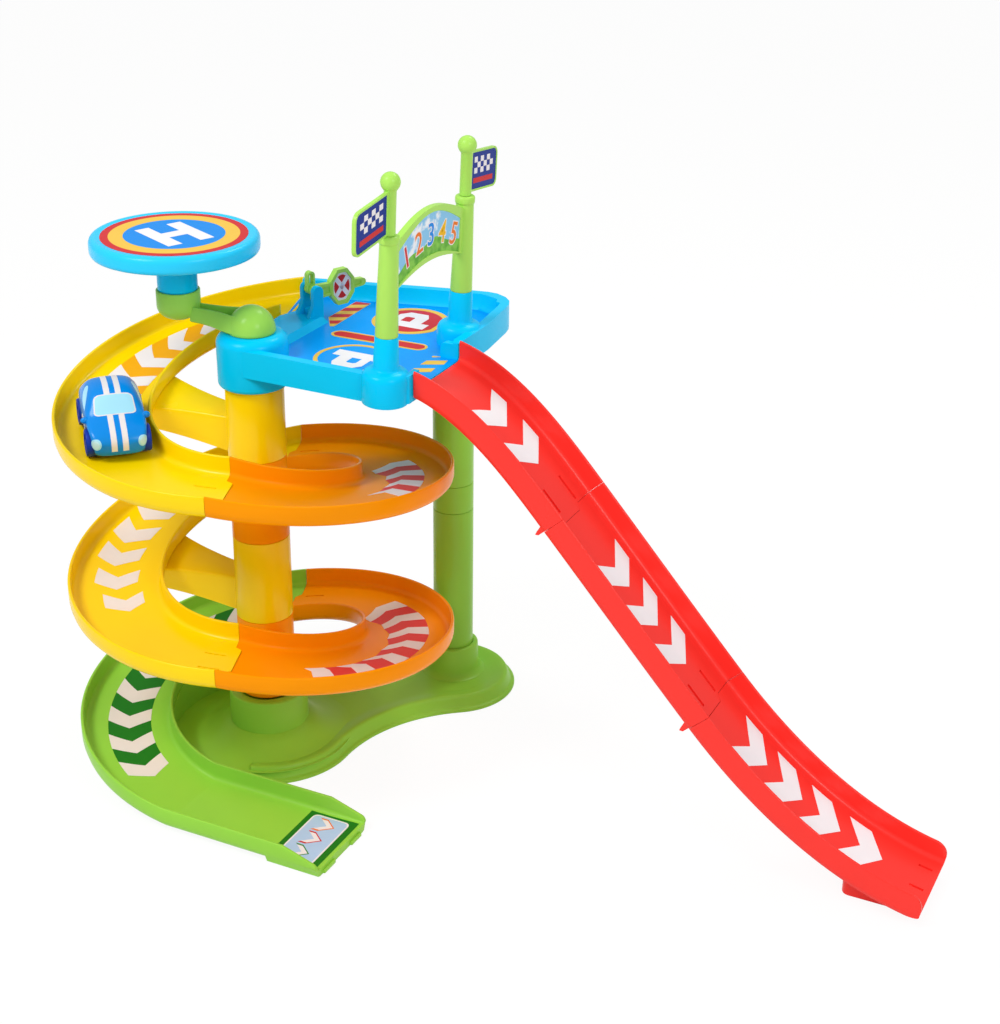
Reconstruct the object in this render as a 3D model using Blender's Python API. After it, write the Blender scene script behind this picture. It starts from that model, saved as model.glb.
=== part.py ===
"""Toy race track: a spiral car track round a column, with a deck, a start gate, a lift-up barrier,
a helipad, a long ramp and one little car. Metres, +Z up, origin on the floor at the column's axis."""

import math

import bmesh
import bpy
from mathutils import Matrix, Vector

FULL_TURN = 2 * math.pi
HALF_TURN = math.pi
QUARTER_TURN = math.pi / 2

# Fits shared by the whole toy
FIT_GAP = 0.0003
CUT_OVERRUN = 0.002
BURY = 0.001

# Track channel of the spiral
TRACK_INNER_RADIUS = 0.076
TRACK_WIDTH = 0.072
CHANNEL_WALL = 0.0025
CHANNEL_HEIGHT = 0.0167
CHANNEL_FILLET = 0.004
RIM_ROUND = 0.0009
SEAM_REACH = 0.005
SEAM_NOTCH_DEPTH = 0.0040
TRACK_STEPS = 16
FLOOR_COLUMN_SHARES = (0.10, 0.16, 0.68, 0.74)
TONGUE_SHARES = (0.16, 0.68)

# Course of the spiral
FRONT_SEAM_ANGLE = math.radians(-71)
FRONT_SEAM_RIM_Z = 0.281
TURN_DROP = 0.1342
DECK_SEAM_ANGLE = math.radians(2.5)
DECK_SEAM_RIM_Z = 0.3414
UPPER_SAG = 0.0127
UPPER_LIFT = 0.0027
LOWER_SAG = 0.017
LOWER_LIFT = 0.0008

# Column
COLUMN_RADIUS = 0.0219
COLUMN_WALL = 0.0026
COLUMN_TOP_Z = 0.3075
COLUMN_FIRST_JOINT_Z = 0.2506
ORANGE_COLUMN_LENGTH = 0.0662
SPIGOT_LENGTH = 0.008
SPIGOT_WALL = 0.0024
COLUMN_SIDES = 24

# Spokes that carry the track
SPOKE_ROOT_RADIUS = 0.010
SPOKE_END_RADIUS = 0.083
SPOKE_ROOT_HALF_WIDTH = 0.009
SPOKE_END_HALF_WIDTH = 0.019
SPOKE_CORNER = 0.003
YELLOW_SPOKE_ANGLE = math.radians(185)
YELLOW_SPOKE_TOP_SET = 0.0304
YELLOW_SPOKE_FOOT_SET = 0.0006
SPOKE_END_DEPTH = 0.017
ORANGE_SPOKE_ANGLE = math.radians(-40)
ORANGE_SPOKE_TOP_SET = 0.056
ORANGE_SPOKE_FOOT_SET = 0.031

# Exit chute
CHUTE_SAG = 0.003
CHUTE_LEVEL_RIM_Z = 0.0205
CHUTE_TURN_END = math.radians(270)
CHUTE_TAPER_X = 0.103
CHUTE_END_X = 0.1315
CHUTE_END_RIM_Z = 0.011
CHUTE_SKIRT_X = 0.088
CHUTE_TURN_STEPS = 14

# Base plate
PLATE_MAIN_RADIUS = 0.069
PLATE_LOBE_RADIUS = 0.054
LOBE_X = 0.088
LOBE_Y = 0.148
PLATE_WAIST_RADIUS = 0.120
LIP_WIDTH = 0.0025
LIP_HEIGHT = 0.002
CREST_INSET = 0.008
CREST_Z = 0.0125
DISH_INSET = 0.024
DISH_Z = 0.0095
PLATE_WALL = 0.0025
BOSS_RADIUS = 0.0307
BOSS_TAPER = 0.0008
BOSS_EDGE = 0.002
WEB_START_ANGLE = math.radians(104)
WEB_END_ANGLE = math.radians(288)
PLATE_SIDES = 40

# Rear pillar
PILLAR_X = 0.0855
PILLAR_Y = 0.1555
PILLAR_RADIUS = 0.0166
PILLAR_WALL = 0.0025
PILLAR_FOOT_Z = 0.014
PILLAR_COUPLER_Z = 0.1607
COUPLER_LENGTH = 0.0233
PILLAR_SPIGOT = 0.009
PILLAR_COLLAR_WALL = 0.0042
PILLAR_COLLAR_Z = 0.036
PILLAR_COLLAR_FLARE = 0.006
PILLAR_SIDES = 20

# Deck
DECK_RIM_Z = 0.3416
DECK_FLOOR_Z = 0.329
DECK_FOOT_Z = 0.321
DECK_WALL = 0.0045
DECK_SHEET = 0.0025
DECK_NEAR_Y = -0.0255
DECK_RIGHT_X = 0.1385
DECK_NEAR_CORNER = 0.011
DECK_RIGHT_TURN_Y = 0.110
DECK_CORNER_X = 0.1340
DECK_CORNER_Y = 0.1500
DECK_CORNER_CUT_X = 0.1290
DECK_CORNER_CUT_Y = 0.1660
DECK_CORNER_BACK_X = 0.1130
DECK_CORNER_BACK_Y = 0.1775
DECK_BACK_X = 0.0746
DECK_BACK_Y = 0.1718
DECK_BACK_LEFT_X = -0.009
DECK_BACK_LEFT_Y = 0.1503
DECK_LEFT_X = -0.016
DECK_LEFT_Y = 0.030
BORDER_Z = 0.3345
BORDER_SLOPE = 0.004
BORDER_FAR_X = -0.014
BORDER_FAR_Y = 0.0960
BORDER_RIGHT_X = 0.0125
BORDER_RIGHT_Y = 0.0890
BORDER_NEAR_X = 0.0120
CHEEK_LENGTH = 0.015
CHEEK_THICKNESS = 0.0035
CHEEK_Z = 0.3410
PILLAR_SOCKET_WALL = 0.0028
PILLAR_SOCKET_Z = 0.308
CAP_RADIUS = 0.0265
CAP_Z = 0.3475
CAP_WALL = 0.003
CAP_EDGE = 0.002

# Gate
GATE_X = 0.121
GATE_LEAN = math.radians(2.5)
GATE_NEAR_Y = -0.0165
GATE_FAR_Y = 0.097
SOCKET_RADIUS = 0.017
SOCKET_FOOT_Z = 0.320
SOCKET_SHOULDER_Z = 0.345
SOCKET_SHOULDER_ROUND = 0.006
STUB_RADIUS = 0.0092
STUB_TOP_RADIUS = 0.0084
STUB_TOP_Z = 0.3695
STUB_PEG_RADIUS = 0.005
STUB_PEG_LENGTH = 0.010
POST_FOOT_RADIUS = 0.0082
POST_HEAD_RADIUS = 0.0066
COLLAR_RADIUS = 0.0073
COLLAR_Z = 0.4365
COLLAR_LENGTH = 0.0055
POLE_RADIUS = 0.0044
POLE_PEG_RADIUS = 0.0034
POLE_PEG_LENGTH = 0.009
BALL_RADIUS = 0.007
BALL_Z = 0.479
BANNER_THICKNESS = 0.0050
BANNER_RECESS = 0.0008
BANNER_FRAME = 0.004
BANNER_FOOT_Z = 0.3985
BANNER_FOOT_RISE = 0.010
BANNER_HEAD_Z = 0.432
BANNER_HEAD_RISE = 0.0155
FLAG_THICKNESS = 0.0028
FLAG_RECESS = 0.0005
FLAG_FRAME = 0.0028
FLAG_LENGTH = 0.0445
FLAG_FOOT_Z = 0.4432
FLAG_HEIGHT = 0.0278
FLAG_DROOP = 0.0055
FLAG_CORNER = 0.006
TURNED_SIDES = 16
BALL_STEPS = 8

# Barrier
BARRIER_X = -0.001
BARRIER_Y = 0.086
BARRIER_ANGLE = math.radians(66)
HINGE_Z = 0.354
EAR_SPACING = 0.0140
EAR_THICKNESS = 0.004
EAR_WIDTH = 0.0092
EAR_FLARE = 0.005
BRACKET_LEDGE_Z = 0.3385
HINGE_PIN_RADIUS = 0.0016
BARRIER_BOSS_RADIUS = 0.0038
BARRIER_THICKNESS = 0.0045
LEVER_TOP_Z = 0.3690
LEVER_WIDTH = 0.0066
LEVER_WALL = 0.0016
LEVER_OFFSET = -0.0012
ARM_ROOT = 0.003
ARM_LENGTH = 0.0500
ARM_ROOT_HEIGHT = 0.0116
ARM_TIP_HEIGHT = 0.006
ARM_DROP = 0.0026
ARM_RECESS = 0.0010
ARM_FRAME = 0.0016
SIGN_CENTRE = 0.0275
SIGN_HALF_WIDTH = 0.0110
SIGN_HALF_HEIGHT = 0.0142
SIGN_FACE_SHARE = 0.80

# Helipad
PAD_ARM_ANGLE = math.radians(183)
PAD_ARM_LENGTH = 0.061
HUB_RADIUS = 0.0185
HUB_RISE = 0.0195
HUB_WALL = 0.0028
HUB_PIVOT_RADIUS = 0.0085
HUB_PIVOT_LENGTH = 0.012
ARM_LIFT = 0.0025
ARM_DEPTH = 0.011
ARM_FOOT_Z = CAP_Z + ARM_LIFT
ARM_TOP_Z = ARM_FOOT_Z + ARM_DEPTH
PAD_ARM_WIDTH = 0.0115
PAD_ARM_WALL = 0.0022
PAD_ARM_FLARE = 0.003
CUP_RADIUS = 0.0163
CUP_RIM_Z = 0.3717
CUP_STRAIGHT_Z = 0.3593
CUP_FOOT_Z = 0.3485
CUP_WALL = 0.0022
STEM_RADIUS = 0.0137
STEM_HEAD_RADIUS = 0.0148
STEM_WALL = 0.0022
STEM_FOOT_Z = 0.3602
DISC_RADIUS = 0.062
DISC_UNDER_RADIUS = 0.0595
DISC_TOP_RADIUS = 0.0575
DISC_UNDER_Z = 0.4005
DISC_SIDE_LOW_Z = 0.4032
DISC_SIDE_HIGH_Z = 0.4088
DISC_TOP_Z = 0.4135
DISC_FACE_Z = 0.4130
DISC_FACE_RADIUS = 0.0545
DISC_SHEET = 0.0025
DISC_SIDES = 36

# Ramp
RAMP_CENTRE_Y = 0.0263
RAMP_WIDTH = 0.0734
RAMP_HEIGHT = 0.019
RAMP_DEPTH = 0.0145
RAMP_START_X = 0.1395
RAMP_START_RIM_Z = 0.3438
RAMP_START_SLOPE = math.radians(-14)
RAMP_JOINT_1_X = 0.256
RAMP_JOINT_1_Z = 0.255
RAMP_JOINT_1_SLOPE = math.radians(-48)
RAMP_JOINT_2_X = 0.371
RAMP_JOINT_2_Z = 0.127
RAMP_JOINT_2_SLOPE = math.radians(-47.5)
RAMP_END_X = 0.535
RAMP_END_Z = 0.0262
RAMP_END_SLOPE = math.radians(-9)
RAMP_STEPS = 9
RAMP_HOOK_WIDTH = 0.030
RAMP_HOOK_REACH = 0.007
RAMP_FOOT_START_X = 0.472
RAMP_FOOT_END_X = 0.520
RAMP_FOOT_WIDTH = 0.039
RAMP_FOOT_ROUND = 0.006
RAMP_END_ROUND = 0.007

# Car
CAR_ANGLE = math.radians(223.5)
CAR_TRACK_RADIUS = 0.1045
CAR_LENGTH = 0.073
CAR_WIDTH = 0.044
CAR_HEIGHT = 0.040
CAR_WHEELBASE = 0.044
CAR_TRACK = 0.038
WHEEL_RADIUS = 0.0100
WHEEL_WIDTH = 0.0085
WHEEL_HUB_RADIUS = 0.0056
WHEEL_DISH = 0.0012
AXLE_RADIUS = 0.0016
CHASSIS_Z = 0.0055
CHASSIS_THICKNESS = 0.0050
CHASSIS_WIDTH = 0.026
ARCH_CLEARANCE = 0.0016
WHEEL_SIDES = 14
CAR_LIFT = 0.0013
CAR_SILL_Z = 0.007
CAVITY_LENGTH_SHARE = 0.84
CAVITY_BELT_SHARE = 0.50
CABIN_REAR_SHARE = 0.55
CABIN_FRONT_SHARE = 0.15
CABIN_WIDTH_SHARE = 0.75
CABIN_TOP_SHARE = 0.86
SILL_WIDTH_SHARE = 0.86
FLANK_LOW_SHARE = 0.25
FLANK_HIGH_SHARE = 0.80
BELT_WIDTH_SHARE = 0.96
ROOF_EDGE_SHARE = 0.75
ROOF_FLAT_SHARE = 0.82
CABIN_FROM_SHARE = 0.80
CABIN_ROOF_WIDTH_SHARE = 0.74
BONNET_WIDTH_SHARE = 0.84
# Sections of the body from tail to nose: place along the half length, width, foot, belt and top
CAR_SECTION_SHARES = (
    (-1.00, 0.70, 0.35, 0.46, 0.50), (-0.95, 0.88, 0.22, 0.58, 0.62), (-0.80, 0.98, 0.17, 0.62, 0.72),
    (-0.58, 1.00, 0.17, 0.64, 0.93), (-0.30, 1.00, 0.17, 0.64, 1.00), (0.02, 1.00, 0.17, 0.64, 0.99),
    (0.24, 1.00, 0.17, 0.63, 0.86), (0.42, 1.00, 0.17, 0.60, 0.68), (0.62, 0.99, 0.17, 0.56, 0.63),
    (0.82, 0.95, 0.17, 0.52, 0.57), (0.95, 0.84, 0.22, 0.44, 0.49), (1.00, 0.68, 0.30, 0.36, 0.41))


def clear_scene():
    for thing in list(bpy.data.objects):
        bpy.data.objects.remove(thing, do_unlink=True)


def material(name, red, green, blue, roughness=0.35):
    """A moulded plastic in one colour."""
    plastic = bpy.data.materials.new(name)
    plastic.use_nodes = True
    shader = plastic.node_tree.nodes["Principled BSDF"]
    shader.inputs["Base Color"].default_value = (red, green, blue, 1)
    shader.inputs["Roughness"].default_value = roughness
    shader.inputs["Metallic"].default_value = 0
    return plastic


def object_from(bm, name, plastic, origin=(0, 0, 0)):
    """Turn a bmesh into an object whose origin is at the given place."""
    bmesh.ops.recalc_face_normals(bm, faces=bm.faces)
    mesh = bpy.data.meshes.new(name)
    bmesh.ops.translate(bm, verts=bm.verts, vec=-Vector(origin))
    bm.to_mesh(mesh)
    bm.free()
    mesh.shade_smooth()
    mesh.set_sharp_from_angle(angle=math.radians(32))
    made = bpy.data.objects.new(name, mesh)
    made.location = origin
    if plastic:
        mesh.materials.append(plastic)
    bpy.context.scene.collection.objects.link(made)
    return made


def helper(bm):
    """A temporary object that a Boolean uses up."""
    return object_from(bm, "helper", None)


def boolean(target, tool, operation):
    """Apply a Boolean to the target with one tool, and remove the tool."""
    bpy.context.view_layer.update()
    step = target.modifiers.new("step", "BOOLEAN")
    step.operation = operation
    step.solver = "EXACT"
    step.object = tool
    bpy.context.view_layer.update()
    evaluated = target.evaluated_get(bpy.context.evaluated_depsgraph_get())
    mesh = bpy.data.meshes.new_from_object(evaluated)
    target.modifiers.remove(step)
    old = target.data
    target.data = mesh
    mesh.name = target.name
    bpy.data.meshes.remove(old)
    spare = tool.data
    bpy.data.objects.remove(tool, do_unlink=True)
    bpy.data.meshes.remove(spare)


def join(target, *tools):
    for tool in tools:
        boolean(target, tool, "UNION")


def cut(target, *tools):
    for tool in tools:
        boolean(target, tool, "DIFFERENCE")


def loft(stations, cap=None):
    """Extrude a face, or a patch of faces, through a list of stations of matching points."""
    bm = bmesh.new()
    place = bm.verts.layers.int.new("place")
    verts = []
    for number, point in enumerate(stations[0]):
        vert = bm.verts.new(point)
        vert[place] = number
        verts.append(vert)
    patches = cap or [range(len(verts))]
    faces = [bm.faces.new([verts[number] for number in patch]) for patch in patches]
    for count, points in enumerate(stations[1:]):
        made = bmesh.ops.extrude_face_region(bm, geom=faces)["geom"]
        if count:
            bmesh.ops.delete(bm, geom=faces, context="FACES_ONLY")
        for item in made:
            if isinstance(item, bmesh.types.BMVert):
                item.co = points[item[place]]
        faces = [item for item in made if isinstance(item, bmesh.types.BMFace)]
    wires = [edge for edge in bm.edges if not edge.link_faces]
    bmesh.ops.delete(bm, geom=wires, context="EDGES")
    return bm


def turned(profile, sides, centre=(0, 0, 0)):
    """Spin a closed ring profile of (radius, z) points, or one that starts and ends on the axis."""
    bm = bmesh.new()
    verts = [bm.verts.new((radius, 0, z)) for radius, z in profile]
    ends_on_axis = profile[0][0] == 0 and profile[-1][0] == 0
    count = len(verts) - 1 if ends_on_axis else len(verts)
    edges = [bm.edges.new((verts[i], verts[(i + 1) % len(verts)])) for i in range(count)]
    bmesh.ops.spin(bm, geom=verts + edges, cent=(0, 0, 0), axis=(0, 0, 1), angle=FULL_TURN,
                   steps=sides, use_merge=True)
    bmesh.ops.remove_doubles(bm, verts=bm.verts, dist=FIT_GAP / 100)
    bmesh.ops.translate(bm, verts=bm.verts, vec=centre)
    return bm


def prism(outline, low, high):
    """A straight block between two heights with the given plan outline."""
    return loft([[(x, y, low) for x, y in outline], [(x, y, high) for x, y in outline]])


def block(low_corner, high_corner):
    (x0, y0, z0), (x1, y1, z1) = low_corner, high_corner
    return prism([(x0, y0), (x1, y0), (x1, y1), (x0, y1)], z0, z1)


def arc(centre_x, centre_y, radius, start, end, steps):
    return [(centre_x + radius * math.cos(start + (end - start) * i / steps),
             centre_y + radius * math.sin(start + (end - start) * i / steps)) for i in range(steps + 1)]


def polar(radius, angle, z):
    return Vector((radius * math.cos(angle), radius * math.sin(angle), z))


# Channel section shared by the spiral and the ramp

def channel_pairs(width, height, depth, shares=()):
    """Points across a channel as (across, down) on its inside and its outside, rim to rim."""
    wall = CHANNEL_WALL
    inside = CHANNEL_FILLET
    outside = height - depth + RIM_ROUND
    slant = 1 - math.cos(QUARTER_TURN / 2)
    side = [((wall - RIM_ROUND, 0), (RIM_ROUND, 0)),
            ((wall, RIM_ROUND), (0, RIM_ROUND)),
            ((wall, depth - inside), (0, height - outside)),
            ((wall + inside * slant, depth - inside * slant), (outside * slant, height - outside * slant)),
            ((wall + inside, depth), (wall + inside, height))]
    floor_start = wall + inside
    floor_width = width - 2 * floor_start
    floor = []
    for share in shares:
        across = floor_start + share * floor_width
        floor.append(((across, depth), (across, height)))
    far = [((width - a[0], a[1]), (width - b[0], b[1])) for a, b in reversed(side)]
    return side + floor + far


def channel_cap(count):
    """End patch of a channel whose points are listed as inside row then outside row."""
    return [(i, i + 1, count + i + 1, count + i) for i in range(count - 1)]


def channel(pairs, steps, place):
    """Loft a channel; place(share along, pair number, across, down) gives a point."""
    stations = []
    for step in range(steps + 1):
        along = step / steps
        inner = [place(along, number, *pair[0]) for number, pair in enumerate(pairs)]
        outer = [place(along, number, *pair[1]) for number, pair in enumerate(pairs)]
        stations.append(inner + outer)
    return loft(stations, channel_cap(len(pairs)))


SIDE_PAIRS = 5
TRACK_PAIRS = channel_pairs(TRACK_WIDTH, CHANNEL_HEIGHT, CHANNEL_HEIGHT - CHANNEL_WALL, FLOOR_COLUMN_SHARES)


def on_tongue(number):
    """Whether a pair of the section lies on the floor tongue of a seam."""
    column = number - SIDE_PAIRS
    return 0 <= column < len(FLOOR_COLUMN_SHARES) and FLOOR_COLUMN_SHARES[column] in TONGUE_SHARES


# Rim heights along the spiral, by the angle turned since the front seam

def orange_rim(turned_angle):
    return FRONT_SEAM_RIM_Z - TURN_DROP * turned_angle / FULL_TURN


def upper_yellow_rim(turned_angle):
    share = turned_angle / HALF_TURN + 1
    straight = FRONT_SEAM_RIM_Z + (DECK_SEAM_RIM_Z - FRONT_SEAM_RIM_Z) * (1 - share)
    return straight - UPPER_SAG * math.sin(HALF_TURN * share) + UPPER_LIFT * math.sin(FULL_TURN * share)


def lower_yellow_rim(turned_angle):
    share = turned_angle / HALF_TURN - 1
    sag = LOWER_SAG * math.sin(HALF_TURN * share)
    return orange_rim(turned_angle) - sag + LOWER_LIFT * math.sin(FULL_TURN * share)


def chute_rim(turned_angle):
    start = 3 * HALF_TURN
    end = FULL_TURN + CHUTE_TURN_END - FRONT_SEAM_ANGLE
    share = min(1, (turned_angle - start) / (end - start))
    top = orange_rim(start)
    return top + (CHUTE_LEVEL_RIM_Z - top) * share - CHUTE_SAG * math.sin(HALF_TURN * share)


def spiral_channel(rim, start, end, reach_start, reach_end):
    """A stretch of spiral channel whose floor tongues reach past its two ends."""
    def place(along, number, across, down):
        radius = TRACK_INNER_RADIUS + across
        tongue = on_tongue(number)
        first = start + ((reach_start if tongue else 0) + FIT_GAP) / radius
        last = end + (reach_end if tongue else 0) / radius
        turn = first + (last - first) * along
        return polar(radius, FRONT_SEAM_ANGLE + turn, rim(turn) - down)
    return channel(TRACK_PAIRS, TRACK_STEPS, place)


def spoke(rim, centre_angle, turned_angle, top_z, foot_z):
    """Arm from the column to the underside of the inner wall; its head follows the track."""
    stations = []
    for share in (0, 0.5, 1):
        radius = SPOKE_ROOT_RADIUS + (SPOKE_END_RADIUS - SPOKE_ROOT_RADIUS) * share
        half = SPOKE_ROOT_HALF_WIDTH + (SPOKE_END_HALF_WIDTH - SPOKE_ROOT_HALF_WIDTH) * share ** 2
        half_angle = math.asin(half / max(radius, half + SPOKE_CORNER))
        points = []
        for side in (-1, 1):
            angle = side * half_angle
            track_foot = rim(turned_angle + angle) - CHANNEL_HEIGHT + BURY
            head = top_z + (track_foot - top_z) * share
            foot = foot_z + (track_foot - SPOKE_END_DEPTH - foot_z) * share
            inset = side * half_angle * (1 - SPOKE_CORNER / half)
            corner = [polar(radius, centre_angle + angle, head - SPOKE_CORNER),
                      polar(radius, centre_angle + inset, head)]
            low = polar(radius, centre_angle + angle, foot)
            points.append([low] + corner)
        stations.append(points[0] + points[1][::-1])
    return loft(stations)


def column_section(foot_z, top_z):
    """Hollow length of column with a spigot below that enters the next section."""
    bore = COLUMN_RADIUS - COLUMN_WALL
    spigot = bore - FIT_GAP
    inner = spigot - SPIGOT_WALL
    profile = [(COLUMN_RADIUS, foot_z), (COLUMN_RADIUS, top_z - FIT_GAP), (bore, top_z - FIT_GAP),
               (bore, foot_z + COLUMN_WALL), (inner, foot_z + COLUMN_WALL),
               (inner, foot_z - SPIGOT_LENGTH), (spigot, foot_z - SPIGOT_LENGTH), (spigot, foot_z)]
    return turned(profile, COLUMN_SIDES)


def column_core(foot_z, top_z):
    """The space inside a section, cut out of what the spoke puts there."""
    core = COLUMN_RADIUS - COLUMN_WALL / 2
    low = foot_z - CUT_OVERRUN
    return turned([(0, low), (core, low), (core, top_z), (0, top_z)], COLUMN_SIDES)


def track_piece(name, plastic, rim, start, end, reach_start, column_foot, column_top,
                spoke_angle, spoke_turn, spoke_top, spoke_foot):
    """Half a turn of channel on its spoke and length of column, in one moulding."""
    piece = object_from(spiral_channel(rim, start, end, reach_start, SEAM_REACH), name, plastic)
    arm = helper(spoke(rim, spoke_angle, spoke_turn, spoke_top, spoke_foot))
    cut(arm, helper(column_core(column_foot, column_top)))
    join(piece, arm, helper(column_section(column_foot, column_top)))
    return piece


def spiral(yellow, orange):
    orange_foot = COLUMN_FIRST_JOINT_Z - ORANGE_COLUMN_LENGTH
    yellow_turn = YELLOW_SPOKE_ANGLE - FRONT_SEAM_ANGLE
    orange_turn = ORANGE_SPOKE_ANGLE - FRONT_SEAM_ANGLE
    yellow_top = COLUMN_FIRST_JOINT_Z + YELLOW_SPOKE_TOP_SET
    yellow_low = COLUMN_FIRST_JOINT_Z + YELLOW_SPOKE_FOOT_SET
    orange_top = orange_foot + ORANGE_SPOKE_TOP_SET
    orange_low = orange_foot + ORANGE_SPOKE_FOOT_SET
    track_piece("upper_yellow_track", yellow, upper_yellow_rim, -HALF_TURN - DECK_SEAM_ANGLE, 0,
                -SEAM_REACH, COLUMN_FIRST_JOINT_Z, COLUMN_TOP_Z,
                YELLOW_SPOKE_ANGLE, yellow_turn - FULL_TURN, yellow_top, yellow_low)
    track_piece("upper_orange_track", orange, orange_rim, 0, HALF_TURN,
                SEAM_REACH, orange_foot, COLUMN_FIRST_JOINT_Z,
                ORANGE_SPOKE_ANGLE, orange_turn, orange_top, orange_low)
    track_piece("lower_yellow_track", yellow, lower_yellow_rim, HALF_TURN, FULL_TURN,
                SEAM_REACH, COLUMN_FIRST_JOINT_Z - TURN_DROP, orange_foot,
                YELLOW_SPOKE_ANGLE, yellow_turn, yellow_top - TURN_DROP, yellow_low - TURN_DROP)
    track_piece("lower_orange_track", orange, orange_rim, FULL_TURN, 3 * HALF_TURN,
                SEAM_REACH, orange_foot - TURN_DROP, COLUMN_FIRST_JOINT_Z - TURN_DROP,
                ORANGE_SPOKE_ANGLE, orange_turn + FULL_TURN, orange_top - TURN_DROP, orange_low - TURN_DROP)


# Base: plate, boss, pillar socket and exit chute

def plate_outline(inset):
    """Two round lobes joined by two hollow waists, drawn in by the given inset."""
    main = PLATE_MAIN_RADIUS - inset
    lobe = PLATE_LOBE_RADIUS - inset
    waist = PLATE_WAIST_RADIUS + inset
    reach = math.hypot(LOBE_X, LOBE_Y)
    heading = math.atan2(LOBE_Y, LOBE_X)
    to_waist = main + waist
    along = (reach ** 2 + to_waist ** 2 - (lobe + waist) ** 2) / (2 * reach)
    aside = math.sqrt(to_waist ** 2 - along ** 2)
    main_half = math.atan2(aside, along)
    lobe_half = math.atan2(aside, along - reach)
    points = []
    points += arc(0, 0, main, heading + main_half, heading + FULL_TURN - main_half, PLATE_SIDES // 2)[:-1]
    right_x = along * math.cos(heading) + aside * math.sin(heading)
    right_y = along * math.sin(heading) - aside * math.cos(heading)
    points += arc(right_x, right_y, waist, heading + HALF_TURN - main_half,
                  heading + HALF_TURN - lobe_half, PLATE_SIDES // 8)[:-1]
    points += arc(LOBE_X, LOBE_Y, lobe, heading - lobe_half, heading + lobe_half, PLATE_SIDES // 4)[:-1]
    left_x = along * math.cos(heading) - aside * math.sin(heading)
    left_y = along * math.sin(heading) + aside * math.cos(heading)
    points += arc(left_x, left_y, waist, heading + HALF_TURN + lobe_half,
                  heading + HALF_TURN + main_half, PLATE_SIDES // 8)[:-1]
    return points


def plate():
    """Rolled lip, sloping flank, crest and dished top over a hollow underside."""
    lip_top = LIP_HEIGHT + RIM_ROUND
    rows = [(CREST_INSET + PLATE_WALL, DISH_Z - PLATE_WALL),
            (LIP_WIDTH + PLATE_WALL, LIP_HEIGHT),
            (LIP_WIDTH, 0),
            (0, 0),
            (0, LIP_HEIGHT),
            (LIP_WIDTH, lip_top),
            ((LIP_WIDTH + CREST_INSET) / 2, CREST_Z * 0.8),
            (CREST_INSET, CREST_Z),
            ((CREST_INSET + DISH_INSET) / 2, (CREST_Z + DISH_Z) / 2),
            (DISH_INSET, DISH_Z)]
    return loft([[(x, y, z) for x, y in plate_outline(inset)] for inset, z in rows])


def chute_stations():
    """The last half turn, level from the quarter before the mouth, then straight with tapering walls."""
    chute_start = 3 * HALF_TURN
    chute_end = FULL_TURN + CHUTE_TURN_END - FRONT_SEAM_ANGLE
    depth = CHANNEL_HEIGHT - CHANNEL_WALL

    def turn_point(share, number, across, down):
        radius = TRACK_INNER_RADIUS + across
        first = chute_start + ((SEAM_REACH if on_tongue(number) else 0) + FIT_GAP) / radius
        turn = first + (chute_end - first) * share
        return polar(radius, FRONT_SEAM_ANGLE + turn, chute_rim(turn) - down)

    def straight_point(x, number, across, down):
        fall = max(0, (x - CHUTE_TAPER_X) / (CHUTE_END_X - CHUTE_TAPER_X))
        rim_fall = (CHUTE_LEVEL_RIM_Z - CHUTE_END_RIM_Z) * fall
        height = max(0, depth - down) / depth
        foot = CHUTE_LEVEL_RIM_Z - CHANNEL_HEIGHT
        below = foot * (down > depth and x > CHUTE_SKIRT_X)
        z = CHUTE_LEVEL_RIM_Z - down - rim_fall * height - below
        return Vector((x, -TRACK_INNER_RADIUS - across, z))

    places = [(turn_point, step / CHUTE_TURN_STEPS) for step in range(CHUTE_TURN_STEPS + 1)]
    marks = (CHUTE_SKIRT_X / 2, CHUTE_SKIRT_X, CHUTE_SKIRT_X + BURY, CHUTE_TAPER_X, CHUTE_END_X)
    places += [(straight_point, x) for x in marks]
    return [[point(share, number, *pair[side])
             for side in (0, 1) for number, pair in enumerate(TRACK_PAIRS)] for point, share in places]


def chute_skirt():
    """Wall that carries the inside of the chute on the plate."""
    stations = []
    start = FRONT_SEAM_ANGLE + 3 * HALF_TURN + 2 * FIT_GAP / TRACK_INNER_RADIUS
    near = TRACK_INNER_RADIUS + FIT_GAP
    far = TRACK_INNER_RADIUS + CHANNEL_WALL - FIT_GAP
    for step in range(CHUTE_TURN_STEPS + 1):
        angle = start + (FULL_TURN + CHUTE_TURN_END - start) * step / CHUTE_TURN_STEPS
        head = chute_rim(angle - FRONT_SEAM_ANGLE) - CHANNEL_HEIGHT + 2 * BURY
        stations.append([polar(near, angle, 0), polar(far, angle, 0), polar(far, angle, head),
                         polar(near, angle, head)])
    return loft(stations)


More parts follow.
